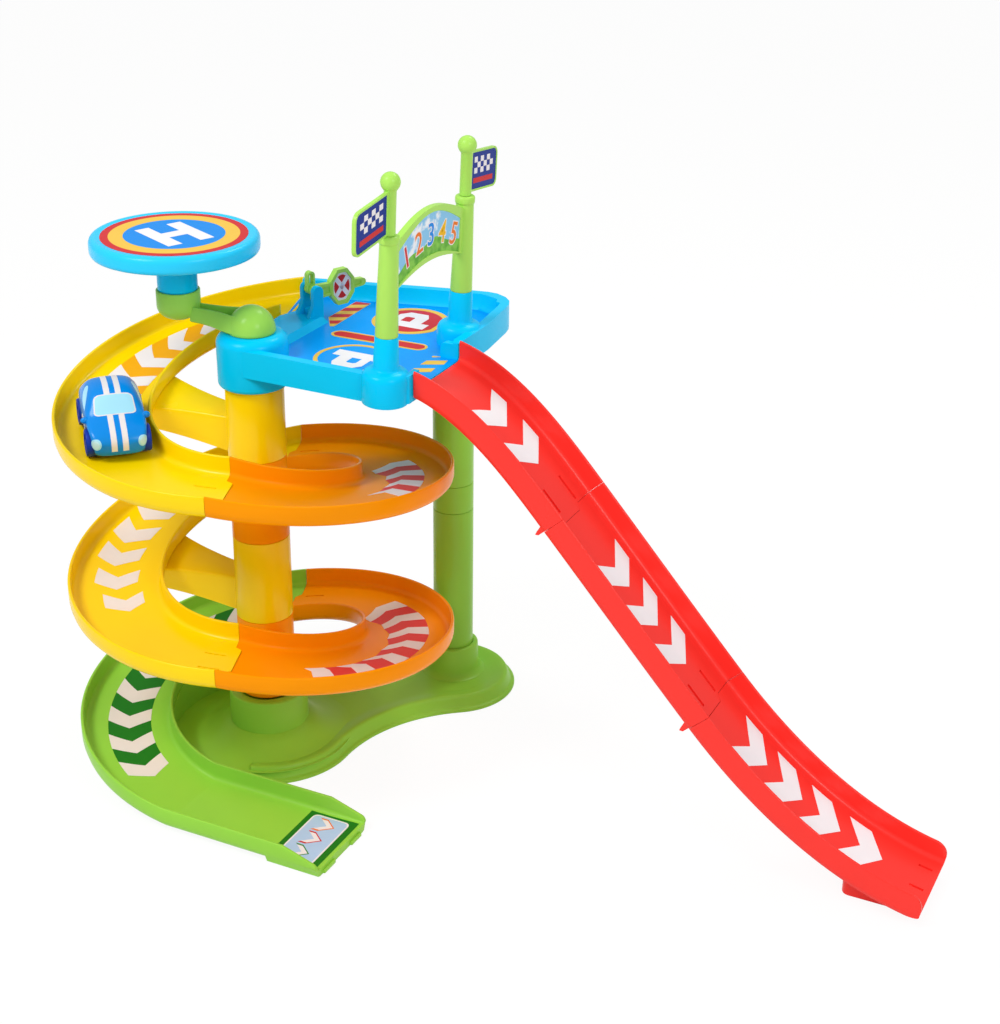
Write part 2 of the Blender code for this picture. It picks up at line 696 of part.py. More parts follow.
def base(green):
    column_top = COLUMN_FIRST_JOINT_Z - ORANGE_COLUMN_LENGTH - TURN_DROP
    piece = object_from(plate(), "base", green)
    dish_edge = PLATE_MAIN_RADIUS - DISH_INSET
    web_outer = TRACK_INNER_RADIUS + CHANNEL_WALL / 2
    sweep = arc(0, 0, PLATE_MAIN_RADIUS + BURY, WEB_START_ANGLE, WEB_END_ANGLE, 24)
    inner = arc(0, 0, dish_edge, WEB_END_ANGLE, WEB_START_ANGLE, 24)
    cut(piece, helper(prism(sweep + inner, -CUT_OVERRUN, CREST_Z + CUT_OVERRUN)))
    outer = arc(0, 0, web_outer, WEB_START_ANGLE, WEB_END_ANGLE, 24)
    inner = arc(0, 0, dish_edge - BURY, WEB_END_ANGLE, WEB_START_ANGLE, 24)
    web_top = DISH_Z - RIM_ROUND / 10
    join(piece, helper(prism(outer + inner, web_top - PLATE_WALL, web_top)))
    join(piece, helper(chute_skirt()), helper(loft(chute_stations(), channel_cap(len(TRACK_PAIRS)))))
    bore = COLUMN_RADIUS - COLUMN_WALL
    hollow = [(0, PLATE_WALL), (bore, PLATE_WALL), (bore, column_top), (0, column_top)]
    join(piece, helper(turned([(0, 0), (BOSS_RADIUS + BOSS_TAPER, 0), (BOSS_RADIUS, column_top - BOSS_EDGE),
                               (BOSS_RADIUS - BOSS_EDGE, column_top - FIT_GAP), (0, column_top - FIT_GAP)],
                              COLUMN_SIDES)))
    cut(piece, helper(turned(hollow, COLUMN_SIDES)))
    collar = PILLAR_RADIUS + PILLAR_COLLAR_WALL
    socket = [(0, 0), (collar + PILLAR_COLLAR_FLARE, 0), (collar + PILLAR_COLLAR_FLARE, DISH_Z),
              (collar + BURY, DISH_Z + PILLAR_COLLAR_FLARE), (collar, PILLAR_COLLAR_Z - BOSS_EDGE),
              (collar - BOSS_EDGE / 2, PILLAR_COLLAR_Z), (0, PILLAR_COLLAR_Z)]
    join(piece, helper(turned(socket, PILLAR_SIDES, (PILLAR_X, PILLAR_Y, 0))))
    well = PILLAR_RADIUS + FIT_GAP
    cut(piece, helper(turned([(0, PILLAR_FOOT_Z - FIT_GAP), (well, PILLAR_FOOT_Z - FIT_GAP),
                              (well, PILLAR_COLLAR_Z + CUT_OVERRUN), (0, PILLAR_COLLAR_Z + CUT_OVERRUN)],
                             PILLAR_SIDES, (PILLAR_X, PILLAR_Y, 0))))
    return piece


# Rear pillar

def pillar(green):
    """Three tubes; the coupler's pegs enter the lower and the upper tube."""
    bore = PILLAR_RADIUS - PILLAR_WALL
    peg = bore - FIT_GAP
    inner = peg - SPIGOT_WALL
    centre = (PILLAR_X, PILLAR_Y, 0)
    coupler_top = PILLAR_COUPLER_Z + COUPLER_LENGTH

    def tube(name, low, high):
        profile = [(PILLAR_RADIUS, low), (PILLAR_RADIUS, high), (bore, high), (bore, low)]
        object_from(turned(profile, PILLAR_SIDES, centre), name, green)

    tube("pillar_lower", PILLAR_FOOT_Z, PILLAR_COUPLER_Z - FIT_GAP)
    tube("pillar_upper", coupler_top + FIT_GAP, DECK_FLOOR_Z - DECK_SHEET - 2 * FIT_GAP)
    profile = [(inner, PILLAR_COUPLER_Z - PILLAR_SPIGOT), (peg, PILLAR_COUPLER_Z - PILLAR_SPIGOT),
               (peg, PILLAR_COUPLER_Z), (PILLAR_RADIUS, PILLAR_COUPLER_Z), (PILLAR_RADIUS, coupler_top),
               (peg, coupler_top), (peg, coupler_top + PILLAR_SPIGOT), (inner, coupler_top + PILLAR_SPIGOT)]
    object_from(turned(profile, PILLAR_SIDES, centre), "pillar_coupler", green)


# Deck

def seam_point(across, past=0):
    """A place on the seam with the spiral, or a little past it on the track's side."""
    radius = TRACK_INNER_RADIUS + across
    return polar(radius, FRONT_SEAM_ANGLE + HALF_TURN - DECK_SEAM_ANGLE + past / radius, 0)


def deck_outline(inset, mouth_reach):
    """Plan of the tray, drawn in by a wall; at the spiral it reaches on by mouth_reach instead."""
    inner = seam_point(inset)
    outer = seam_point(TRACK_WIDTH - inset)
    course = Vector((outer.y - inner.y, inner.x - outer.x, 0)).normalized() * -mouth_reach
    left = [(DECK_LEFT_X + inset, DECK_LEFT_Y), (DECK_LEFT_X + inset, 0), (0, DECK_NEAR_Y + inset)]
    near = [(DECK_RIGHT_X - DECK_NEAR_CORNER, DECK_NEAR_Y + inset),
            (DECK_RIGHT_X - inset, DECK_NEAR_Y + DECK_NEAR_CORNER)]
    right = [(DECK_RIGHT_X - inset, DECK_RIGHT_TURN_Y), (DECK_CORNER_X - inset, DECK_CORNER_Y),
             (DECK_CORNER_CUT_X - inset, DECK_CORNER_CUT_Y - inset),
             (DECK_CORNER_BACK_X - inset, DECK_CORNER_BACK_Y - inset)]
    back = [(DECK_BACK_X, DECK_BACK_Y - inset), (DECK_BACK_LEFT_X, DECK_BACK_LEFT_Y - inset)]
    mouth = [tuple((outer + course).xy), tuple((inner + course).xy)]
    return left + near + right + back + mouth


def seam_notch():
    """Plan of the notch in the deck's floor that takes the tongue of the upper yellow track."""
    floor_start = CHANNEL_WALL + CHANNEL_FILLET
    floor_width = TRACK_WIDTH - 2 * floor_start
    across = [floor_start + share * floor_width for share in FLOOR_COLUMN_SHARES]
    reach = SEAM_REACH + FIT_GAP
    beyond = CUT_OVERRUN
    inner_slope = (across[1] - across[0]) / reach
    outer_slope = (across[3] - across[2]) / reach
    return [tuple(seam_point(across[0] - FIT_GAP - inner_slope * beyond, beyond).xy),
            tuple(seam_point(across[1] - FIT_GAP, -reach).xy),
            tuple(seam_point(across[2] + FIT_GAP, -reach).xy),
            tuple(seam_point(across[3] + FIT_GAP + outer_slope * beyond, beyond).xy)]


def barrier_frame(along, across, z):
    """A point given along the barrier's arm, across on its hinge axis, and by height."""
    cosine = math.cos(BARRIER_ANGLE)
    sine = math.sin(BARRIER_ANGLE)
    return (BARRIER_X + along * cosine + across * sine, BARRIER_Y + along * sine - across * cosine, z)


def barrier_plate(outline, low, high):
    """Extrude an (along, z) outline between two places on the hinge axis."""
    return loft([[barrier_frame(along, across, z) for along, z in outline] for across in (low, high)])


def ear_outline():
    half = EAR_WIDTH / 2
    top = [(along, z) for along, z in arc(0, HINGE_Z, half, 0, HALF_TURN, 8)]
    shoulder = (HINGE_Z + BORDER_Z) / 2
    return top + [(-half, shoulder), (-half - EAR_FLARE, BORDER_Z - BURY), (half, BORDER_Z - BURY)]


def gate_upright(x, y, z):
    """A place on the gate as it leans, given as if it stood upright."""
    rise = z - SOCKET_SHOULDER_Z
    swing = x - GATE_X
    return Vector((GATE_X + swing * math.cos(GATE_LEAN) + rise * math.sin(GATE_LEAN), y,
                   SOCKET_SHOULDER_Z + rise * math.cos(GATE_LEAN) - swing * math.sin(GATE_LEAN)))


def lean(bm):
    for vert in bm.verts:
        vert.co = gate_upright(*vert.co)
    return bm


def post_socket(y):
    """Bulbous socket with a leaning stub and a peg that enters the post."""
    round_in = SOCKET_SHOULDER_ROUND
    bulb = [(0, SOCKET_FOOT_Z), (SOCKET_RADIUS - BOSS_EDGE, SOCKET_FOOT_Z),
            (SOCKET_RADIUS, SOCKET_FOOT_Z + BOSS_EDGE), (SOCKET_RADIUS, SOCKET_SHOULDER_Z - round_in),
            (SOCKET_RADIUS - round_in / 4, SOCKET_SHOULDER_Z - round_in / 3),
            (SOCKET_RADIUS - round_in, SOCKET_SHOULDER_Z), (0, SOCKET_SHOULDER_Z + BURY)]
    stub = [(0, SOCKET_SHOULDER_Z - round_in), (STUB_RADIUS, SOCKET_SHOULDER_Z - round_in),
            (STUB_TOP_RADIUS, STUB_TOP_Z), (STUB_PEG_RADIUS, STUB_TOP_Z),
            (STUB_PEG_RADIUS, STUB_TOP_Z + STUB_PEG_LENGTH), (0, STUB_TOP_Z + STUB_PEG_LENGTH)]
    return (helper(turned(bulb, TURNED_SIDES, (GATE_X, y, 0))),
            helper(lean(turned(stub, TURNED_SIDES, (GATE_X, y, 0)))))


def deck(blue):
    piece = object_from(prism(deck_outline(0, 0), DECK_FOOT_Z, DECK_RIM_Z), "deck", blue)
    above = DECK_RIM_Z + CUT_OVERRUN
    below = DECK_FOOT_Z - CUT_OVERRUN
    cut(piece, helper(prism(deck_outline(DECK_WALL, CUT_OVERRUN), DECK_FLOOR_Z, above)),
        helper(prism(deck_outline(CHANNEL_WALL, -CHANNEL_WALL), below, DECK_FLOOR_Z - DECK_SHEET)))
    border = [tuple(seam_point(BURY, -BURY).xy), (BORDER_FAR_X, BORDER_FAR_Y),
              (BORDER_RIGHT_X, BORDER_RIGHT_Y), (BORDER_NEAR_X, 0),
              (DECK_LEFT_X + BURY, 0), (DECK_LEFT_X + BURY, DECK_LEFT_Y)]
    inside = [(x - BORDER_SLOPE * (1 if x > 0 else 0), y - BORDER_SLOPE * (1 if y > DECK_LEFT_Y else 0))
              for x, y in border]
    low = [(x, y, DECK_FLOOR_Z - BURY) for x, y in border]
    high = [(x, y, BORDER_Z) for x, y in inside]
    left_cut = [tuple(seam_point(-BURY, CUT_OVERRUN).xy),
                tuple(seam_point(DECK_WALL + BURY, CUT_OVERRUN).xy),
                (DECK_LEFT_X + DECK_WALL + BURY, DECK_LEFT_Y), (DECK_LEFT_X + DECK_WALL + BURY, 0),
                (DECK_LEFT_X - BURY, 0), (DECK_LEFT_X - BURY, DECK_LEFT_Y)]
    cut(piece, helper(prism(left_cut, BORDER_Z, above)))
    join(piece, helper(loft([low, high])))
    half = EAR_SPACING / 2
    ledge_half = EAR_WIDTH / 2 - RIM_ROUND
    ledge = [(-ledge_half, BORDER_Z - BURY), (ledge_half, BORDER_Z - BURY), (ledge_half, BRACKET_LEDGE_Z),
             (-ledge_half, BRACKET_LEDGE_Z)]
    join(piece, helper(barrier_plate(ledge, -half, half)))
    for side in (-1, 1):
        middle = side * half
        thick = EAR_THICKNESS / 2
        join(piece, helper(barrier_plate(ear_outline(), middle - thick, middle + thick)))
    hole = arc(0, HINGE_Z, HINGE_PIN_RADIUS + FIT_GAP, 0, FULL_TURN, 10)[:-1]
    cut(piece, helper(barrier_plate(hole, -EAR_SPACING, EAR_SPACING)))
    for y in (GATE_NEAR_Y, GATE_FAR_Y):
        join(piece, *post_socket(y))
    mouth_near = RAMP_CENTRE_Y - RAMP_WIDTH / 2 + CHANNEL_WALL
    mouth_far = RAMP_CENTRE_Y + RAMP_WIDTH / 2 - CHANNEL_WALL
    reach = DECK_RIGHT_X + CUT_OVERRUN
    bulb_side = GATE_NEAR_Y + SOCKET_RADIUS
    cut(piece, helper(block((DECK_RIGHT_X - DECK_WALL - BURY, bulb_side, DECK_FLOOR_Z),
                            (reach, mouth_far, above))))
    cheek = [(DECK_RIGHT_X - CHEEK_LENGTH, DECK_FLOOR_Z - BURY), (DECK_RIGHT_X - BURY, DECK_FLOOR_Z - BURY),
             (DECK_RIGHT_X - BURY, CHEEK_Z - CHEEK_LENGTH / 3)]
    cheek += arc(DECK_RIGHT_X - BURY - CHEEK_LENGTH / 3, CHEEK_Z - CHEEK_LENGTH / 3, CHEEK_LENGTH / 3,
                 0, QUARTER_TURN, 4)[1:]
    cheek += [(x - CHEEK_LENGTH / 3, z) for x, z in
              arc(DECK_RIGHT_X - CHEEK_LENGTH / 3, CHEEK_Z - CHEEK_LENGTH / 3, CHEEK_LENGTH / 3,
                  QUARTER_TURN, HALF_TURN, 4)]
    join(piece, helper(side_plate(cheek, mouth_far, mouth_far + CHEEK_THICKNESS)))
    cap_bore = COLUMN_RADIUS - COLUMN_WALL - FIT_GAP
    cap_inner = cap_bore - SPIGOT_WALL
    foot = COLUMN_TOP_Z
    spigot_foot = foot - SPIGOT_LENGTH
    cap = [(0, spigot_foot), (cap_bore, spigot_foot), (cap_bore, foot), (CAP_RADIUS - CAP_EDGE / 2, foot),
           (CAP_RADIUS, foot + CAP_EDGE), (CAP_RADIUS, CAP_Z - CAP_EDGE), (CAP_RADIUS - CAP_EDGE, CAP_Z),
           (0, CAP_Z)]
    join(piece, helper(turned(cap, COLUMN_SIDES)))
    hollow = CAP_RADIUS - CAP_WALL
    pivot = HUB_PIVOT_RADIUS + FIT_GAP
    low = spigot_foot - CUT_OVERRUN
    core = [(0, low), (cap_inner, low), (cap_inner, foot + CAP_WALL),
            (hollow, foot + 2 * CAP_WALL), (hollow, CAP_Z - CAP_WALL), (pivot, CAP_Z - CAP_WALL),
            (pivot, CAP_Z + CUT_OVERRUN), (0, CAP_Z + CUT_OVERRUN)]
    cut(piece, helper(turned(core, COLUMN_SIDES)))
    centre = (PILLAR_X, PILLAR_Y, 0)
    well = PILLAR_RADIUS + FIT_GAP
    ceiling = DECK_FLOOR_Z - DECK_SHEET - FIT_GAP / 2
    sleeve = [(0, PILLAR_SOCKET_Z), (well + PILLAR_SOCKET_WALL, PILLAR_SOCKET_Z),
              (well + PILLAR_SOCKET_WALL, DECK_FLOOR_Z - BURY), (0, DECK_FLOOR_Z - BURY)]
    join(piece, helper(turned(sleeve, PILLAR_SIDES, centre)))
    well_foot = PILLAR_SOCKET_Z - CUT_OVERRUN
    cut(piece, helper(turned([(0, well_foot), (well, well_foot), (well, ceiling), (0, ceiling)],
                             PILLAR_SIDES, centre)),
        helper(prism(seam_notch(), DECK_FLOOR_Z - SEAM_NOTCH_DEPTH, above)))
    return piece


# Gate

def post(y, plastic):
    bore = STUB_PEG_RADIUS + FIT_GAP
    well = POLE_PEG_RADIUS + FIT_GAP
    foot = STUB_TOP_Z + FIT_GAP
    top = COLLAR_Z + COLLAR_LENGTH
    profile = [(bore, foot), (POST_FOOT_RADIUS, foot),
               (POST_HEAD_RADIUS, COLLAR_Z), (COLLAR_RADIUS, COLLAR_Z),
               (COLLAR_RADIUS, top - RIM_ROUND), (COLLAR_RADIUS - RIM_ROUND, top), (well, top),
               (well, top - POLE_PEG_LENGTH - BURY), (0, top - POLE_PEG_LENGTH - BURY),
               (0, foot + STUB_PEG_LENGTH + BURY), (bore, foot + STUB_PEG_LENGTH + BURY)]
    return lean(turned(profile, TURNED_SIDES, (GATE_X, y, 0)))


def banner_edge(z, rise, inset, steps=12):
    """Points (y, z) along one arched edge of the banner, from the near post to the far one."""
    start = GATE_NEAR_Y + inset
    end = GATE_FAR_Y - inset
    points = []
    for step in range(steps + 1):
        share = step / steps
        points.append((start + (end - start) * share, z + rise * math.sin(HALF_TURN * share)))
    return points


def banner_outline(inset):
    side = POST_HEAD_RADIUS + inset if inset else BURY
    low = banner_edge(BANNER_FOOT_Z + inset, BANNER_FOOT_RISE, side)
    high = banner_edge(BANNER_HEAD_Z - inset, BANNER_HEAD_RISE, side)
    return low + high[::-1]


def upright_plate(outline, low_x, high_x):
    return lean(loft([[(x, y, z) for y, z in outline] for x in (low_x, high_x)]))


def gate(green):
    piece = object_from(post(GATE_NEAR_Y, green), "gate_arch", green)
    half = BANNER_THICKNESS / 2
    sheet = helper(upright_plate(banner_outline(0), GATE_X - half, GATE_X + half))
    panel = banner_outline(BANNER_FRAME)
    cut(sheet, helper(upright_plate(panel, GATE_X + half - BANNER_RECESS, GATE_X + half + CUT_OVERRUN)),
        helper(upright_plate(panel, GATE_X - half - CUT_OVERRUN, GATE_X - half + BANNER_RECESS)))
    for y in (GATE_NEAR_Y, GATE_FAR_Y):
        wide = STUB_PEG_RADIUS + BURY
        collar_top = COLLAR_Z + COLLAR_LENGTH
        well = [(0, STUB_TOP_Z), (wide, STUB_TOP_Z), (wide, collar_top), (0, collar_top)]
        cut(sheet, helper(lean(turned(well, TURNED_SIDES, (GATE_X, y, 0)))))
    join(piece, sheet, helper(post(GATE_FAR_Y, green)))


def flag_outline(side, inset):
    """Rounded flag panel as (distance from the pole's axis, z), drooping towards its outer end."""
    start = inset
    end = FLAG_LENGTH - inset
    corner = FLAG_CORNER - inset
    low = FLAG_FOOT_Z + inset
    high = FLAG_FOOT_Z + FLAG_HEIGHT - inset
    lower = [(start, low)] + arc(end - corner, low + corner, corner, -QUARTER_TURN, 0, 4)
    upper = arc(end - corner, high - corner, corner, 0, QUARTER_TURN, 4) + [(start, high)]
    return [(side * y, z - FLAG_DROOP * (y / FLAG_LENGTH)) for y, z in lower + upper]


def flagpole(name, y, side, green):
    """Pole with its ball, its peg in the post, and the flag on the outer side."""
    top = COLLAR_Z + COLLAR_LENGTH + FIT_GAP
    ball = []
    neck = math.asin(POLE_RADIUS / BALL_RADIUS)
    for step in range(1, BALL_STEPS):
        angle = neck + (HALF_TURN - neck) * step / BALL_STEPS
        ball.append((BALL_RADIUS * math.sin(angle), BALL_Z - BALL_RADIUS * math.cos(angle)))
    profile = [(0, top - POLE_PEG_LENGTH), (POLE_PEG_RADIUS, top - POLE_PEG_LENGTH), (POLE_PEG_RADIUS, top),
               (POLE_RADIUS, top), (POLE_RADIUS, BALL_Z - BALL_RADIUS * math.cos(neck))]
    profile += ball + [(0, BALL_Z + BALL_RADIUS)]
    piece = object_from(lean(turned(profile, TURNED_SIDES, (GATE_X, y, 0))), name, green)
    half = FLAG_THICKNESS / 2
    outline = [(y + along, z) for along, z in flag_outline(side, 0)]
    panel = [(y + along, z) for along, z in flag_outline(side, FLAG_FRAME)]
    panel = [(max(abs(along - y), POLE_RADIUS + FLAG_FRAME) * side + y, z) for along, z in panel]
    sheet = helper(upright_plate(outline, GATE_X - half, GATE_X + half))
    cut(sheet, helper(upright_plate(panel, GATE_X + half - FLAG_RECESS, GATE_X + half + CUT_OVERRUN)),
        helper(upright_plate(panel, GATE_X - half - CUT_OVERRUN, GATE_X - half + FLAG_RECESS)))
    join(piece, sheet)


# Barrier

def barrier(green, steel):
    """Lever loop, hinge barrel, arm and octagonal sign in one moulding, on a pin between the ears."""
    half = BARRIER_THICKNESS / 2
    hinge = barrier_frame(0, 0, HINGE_Z)
    barrel_half = (EAR_SPACING - EAR_THICKNESS) / 2 - FIT_GAP
    barrel = arc(0, HINGE_Z, BARRIER_BOSS_RADIUS, 0, FULL_TURN, 16)[:-1]
    piece = object_from(barrier_plate(barrel, -barrel_half, barrel_half), "barrier_arm", green, hinge)
    root_z = HINGE_Z - ARM_DROP
    tip_x = ARM_LENGTH - ARM_TIP_HEIGHT / 2
    arm = [(0, root_z - ARM_ROOT_HEIGHT / 2), (tip_x, root_z - ARM_TIP_HEIGHT / 2)]
    arm += arc(tip_x, root_z, ARM_TIP_HEIGHT / 2, -QUARTER_TURN, QUARTER_TURN, 6)[1:]
    arm += [(0, root_z + ARM_ROOT_HEIGHT / 2)]
    plate_solid = helper(barrier_plate(arm, -half, half))

    def octagon(share):
        bite = math.tan(QUARTER_TURN / 4)
        wide = SIGN_HALF_WIDTH * share
        tall = SIGN_HALF_HEIGHT * share
        corners = [(1, -bite), (1, bite), (bite, 1), (-bite, 1),
                   (-1, bite), (-1, -bite), (-bite, -1), (bite, -1)]
        return [(SIGN_CENTRE + a * wide, root_z + b * tall) for a, b in corners]
    join(plate_solid, helper(barrier_plate(octagon(1), -half - ARM_RECESS / 2, half + ARM_RECESS / 2)))
    window_half = ARM_ROOT_HEIGHT / 2 - 2 * ARM_FRAME
    window_start = BARRIER_BOSS_RADIUS + ARM_FRAME
    window_end = SIGN_CENTRE - SIGN_HALF_WIDTH
    window = [(window_start, root_z - window_half), (window_end, root_z - window_half),
              (window_end, root_z + window_half), (window_start, root_z + window_half)]
    outside = half + ARM_RECESS
    for side in (-1, 1):
        deep, shallow = sorted((side * (half - ARM_RECESS), side * outside))
        cut(plate_solid, helper(barrier_plate(window, deep, shallow)),
            helper(barrier_plate(octagon(SIGN_FACE_SHARE), deep, shallow)))
    lever_half = LEVER_WIDTH / 2
    loop = [(LEVER_OFFSET - lever_half, HINGE_Z), (LEVER_OFFSET + lever_half, HINGE_Z)]
    loop += arc(LEVER_OFFSET, LEVER_TOP_Z - lever_half, lever_half, 0, HALF_TURN, 8)
    inner = lever_half - LEVER_WALL
    slot = [(LEVER_OFFSET - inner, HINGE_Z + BARRIER_BOSS_RADIUS + BURY),
            (LEVER_OFFSET + inner, HINGE_Z + BARRIER_BOSS_RADIUS + BURY)]
    slot += arc(LEVER_OFFSET, LEVER_TOP_Z - lever_half, inner, 0, HALF_TURN, 6)
    lever = helper(barrier_plate(loop, -half, half))
    cut(lever, helper(barrier_plate(slot, -half - CUT_OVERRUN, half + CUT_OVERRUN)))
    join(piece, plate_solid, lever)
    hole = arc(0, HINGE_Z, HINGE_PIN_RADIUS + FIT_GAP, 0, FULL_TURN, 10)[:-1]
    cut(piece, helper(barrier_plate(hole, -EAR_SPACING, EAR_SPACING)))
    pin = arc(0, HINGE_Z, HINGE_PIN_RADIUS, 0, FULL_TURN, 10)[:-1]
    pin_half = (EAR_SPACING + EAR_THICKNESS) / 2
    object_from(barrier_plate(pin, -pin_half, pin_half), "barrier_pin", steel, hinge)


# Helipad

def pad_frame(along, across, z):
    cosine = math.cos(PAD_ARM_ANGLE)
    sine = math.sin(PAD_ARM_ANGLE)
    return (along * cosine - across * sine, along * sine + across * cosine, z)


def pad_block(start, end, half_start, half_end, low_start, low_end, high):
    first = [pad_frame(start, a, z) for a, z in ((-half_start, low_start), (half_start, low_start),
                                                 (half_start, high), (-half_start, high))]
    last = [pad_frame(end, a, z) for a, z in ((-half_end, low_end), (half_end, low_end),
                                              (half_end, high), (-half_end, high))]
    return loft([first, last])


def helipad(green, cyan):
    foot = CAP_Z + FIT_GAP
    inner = HUB_RADIUS - HUB_WALL
    dome = []
    lining = []
    for step in range(6):
        angle = QUARTER_TURN * step / 6
        dome.append((HUB_RADIUS * math.cos(angle), foot + HUB_RISE * math.sin(angle)))
        lining.append((inner * math.cos(angle), foot + (HUB_RISE - HUB_WALL) * math.sin(angle)))
    lining = [point for point in lining if point[0] > HUB_PIVOT_RADIUS + BURY]
    pivot_top = foot + (HUB_RISE - HUB_WALL) * math.sqrt(1 - (HUB_PIVOT_RADIUS / inner) ** 2)
    profile = [(0, foot - HUB_PIVOT_LENGTH), (HUB_PIVOT_RADIUS, foot - HUB_PIVOT_LENGTH),
               (HUB_PIVOT_RADIUS, pivot_top)] + lining[::-1] + dome + [(0, foot + HUB_RISE)]
    piece = object_from(turned(profile, COLUMN_SIDES), "helipad_arm", green)
    width = PAD_ARM_WIDTH / 2
    cup_x, cup_y, _ = pad_frame(PAD_ARM_LENGTH, 0, 0)
    arm = helper(pad_block(inner, PAD_ARM_LENGTH - CUP_RADIUS + CUP_WALL, width + PAD_ARM_FLARE, width,
                           ARM_FOOT_Z - BURY, ARM_FOOT_Z, ARM_TOP_Z))
    narrow = width - PAD_ARM_WALL
    trough_start = HUB_RADIUS + PAD_ARM_WALL
    trough_end = PAD_ARM_LENGTH - CUP_RADIUS - PAD_ARM_WALL
    trough_foot = ARM_FOOT_Z + PAD_ARM_WALL
    cut(arm, helper(pad_block(trough_start, trough_end, narrow, narrow, trough_foot, trough_foot,
                              ARM_TOP_Z + CUT_OVERRUN)))
    hollow = CUP_RADIUS - CUP_WALL
    bowl = [(0, CUP_FOOT_Z)]
    bowl_depth = CUP_STRAIGHT_Z - CUP_FOOT_Z
    for step in range(1, 4):
        angle = QUARTER_TURN * step / 4
        bowl.append((CUP_RADIUS * math.sin(angle), CUP_STRAIGHT_Z - bowl_depth * math.cos(angle)))
    bowl += [(CUP_RADIUS, CUP_STRAIGHT_Z), (CUP_RADIUS, CUP_RIM_Z - RIM_ROUND),
             (CUP_RADIUS - RIM_ROUND, CUP_RIM_Z), (hollow, CUP_RIM_Z), (hollow, CUP_STRAIGHT_Z),
             (0, CUP_STRAIGHT_Z)]
    join(piece, arm, helper(turned(bowl, COLUMN_SIDES, (cup_x, cup_y, 0))))
    stem = hollow - FIT_GAP
    stem_inner = stem - STEM_WALL
    head = CUP_RIM_Z + FIT_GAP
    ceiling = DISC_FACE_Z - DISC_SHEET
    stem_foot = CUP_STRAIGHT_Z + FIT_GAP
    under = DISC_UNDER_RADIUS - DISC_SHEET
    profile = [(0, ceiling), (stem_inner, ceiling), (stem_inner, stem_foot), (stem, stem_foot),
               (stem, head), (STEM_HEAD_RADIUS, head), (STEM_HEAD_RADIUS, ceiling), (under, ceiling),
               (under, DISC_UNDER_Z), (DISC_UNDER_RADIUS, DISC_UNDER_Z),
               (DISC_RADIUS, DISC_SIDE_LOW_Z), (DISC_RADIUS, DISC_SIDE_HIGH_Z),
               (DISC_RADIUS - (DISC_RADIUS - DISC_TOP_RADIUS) / 4, (DISC_SIDE_HIGH_Z + DISC_TOP_Z * 2) / 3),
               (DISC_TOP_RADIUS, DISC_TOP_Z), (DISC_FACE_RADIUS, DISC_FACE_Z), (0, DISC_FACE_Z)]
    object_from(turned(profile, DISC_SIDES, (cup_x, cup_y, 0)), "helipad_disc", cyan, (cup_x, cup_y, 0))


# Ramp

def ramp_curve(start, end):
    """Cubic through two (x, z, slope) knots with handles of a third of the chord."""
    (x0, z0, a0), (x3, z3, a3) = start, end
    handle = math.hypot(x3 - x0, z3 - z0) / 3
    x1, z1 = x0 + handle * math.cos(a0), z0 + handle * math.sin(a0)
    x2, z2 = x3 - handle * math.cos(a3), z3 - handle * math.sin(a3)

    def at(t):
        u = 1 - t
        x = u ** 3 * x0 + 3 * u * u * t * x1 + 3 * u * t * t * x2 + t ** 3 * x3
        z = u ** 3 * z0 + 3 * u * u * t * z1 + 3 * u * t * t * z2 + t ** 3 * z3
        dx = 3 * (u * u * (x1 - x0) + 2 * u * t * (x2 - x1) + t * t * (x3 - x2))
        dz = 3 * (u * u * (z1 - z0) + 2 * u * t * (z2 - z1) + t * t * (z3 - z2))
        return x, z, math.atan2(dz, dx)
    return at, 3 * handle


RAMP_KNOTS = ((RAMP_START_X, RAMP_START_RIM_Z, RAMP_START_SLOPE),
              (RAMP_JOINT_1_X, RAMP_JOINT_1_Z, RAMP_JOINT_1_SLOPE),
              (RAMP_JOINT_2_X, RAMP_JOINT_2_Z, RAMP_JOINT_2_SLOPE),
              (RAMP_END_X, RAMP_END_Z, RAMP_END_SLOPE))


def ramp_pairs():
    """The ramp's channel: its walls run on below the floor as skirts."""
    wall = CHANNEL_WALL
    fillet = CHANNEL_FILLET
    slant = 1 - math.cos(QUARTER_TURN / 2)
    sheet_foot = RAMP_DEPTH + CHANNEL_WALL
    side = [((wall - RIM_ROUND, 0), (RIM_ROUND, 0)),
            ((wall, RIM_ROUND), (0, RIM_ROUND)),
            ((wall, RAMP_DEPTH - fillet), (0, RAMP_HEIGHT)),
            ((wall + fillet * slant, RAMP_DEPTH - fillet * slant), (wall, RAMP_HEIGHT)),
            ((wall + fillet, RAMP_DEPTH), (wall + BURY, sheet_foot))]
    floor_start = wall + fillet
    floor_width = RAMP_WIDTH - 2 * floor_start
    floor = []
    for share in FLOOR_COLUMN_SHARES:
        across = floor_start + share * floor_width
        floor.append(((across, RAMP_DEPTH), (across, sheet_foot)))
    far = [((RAMP_WIDTH - a[0], a[1]), (RAMP_WIDTH - b[0], b[1])) for a, b in reversed(side)]
    return side + floor + far


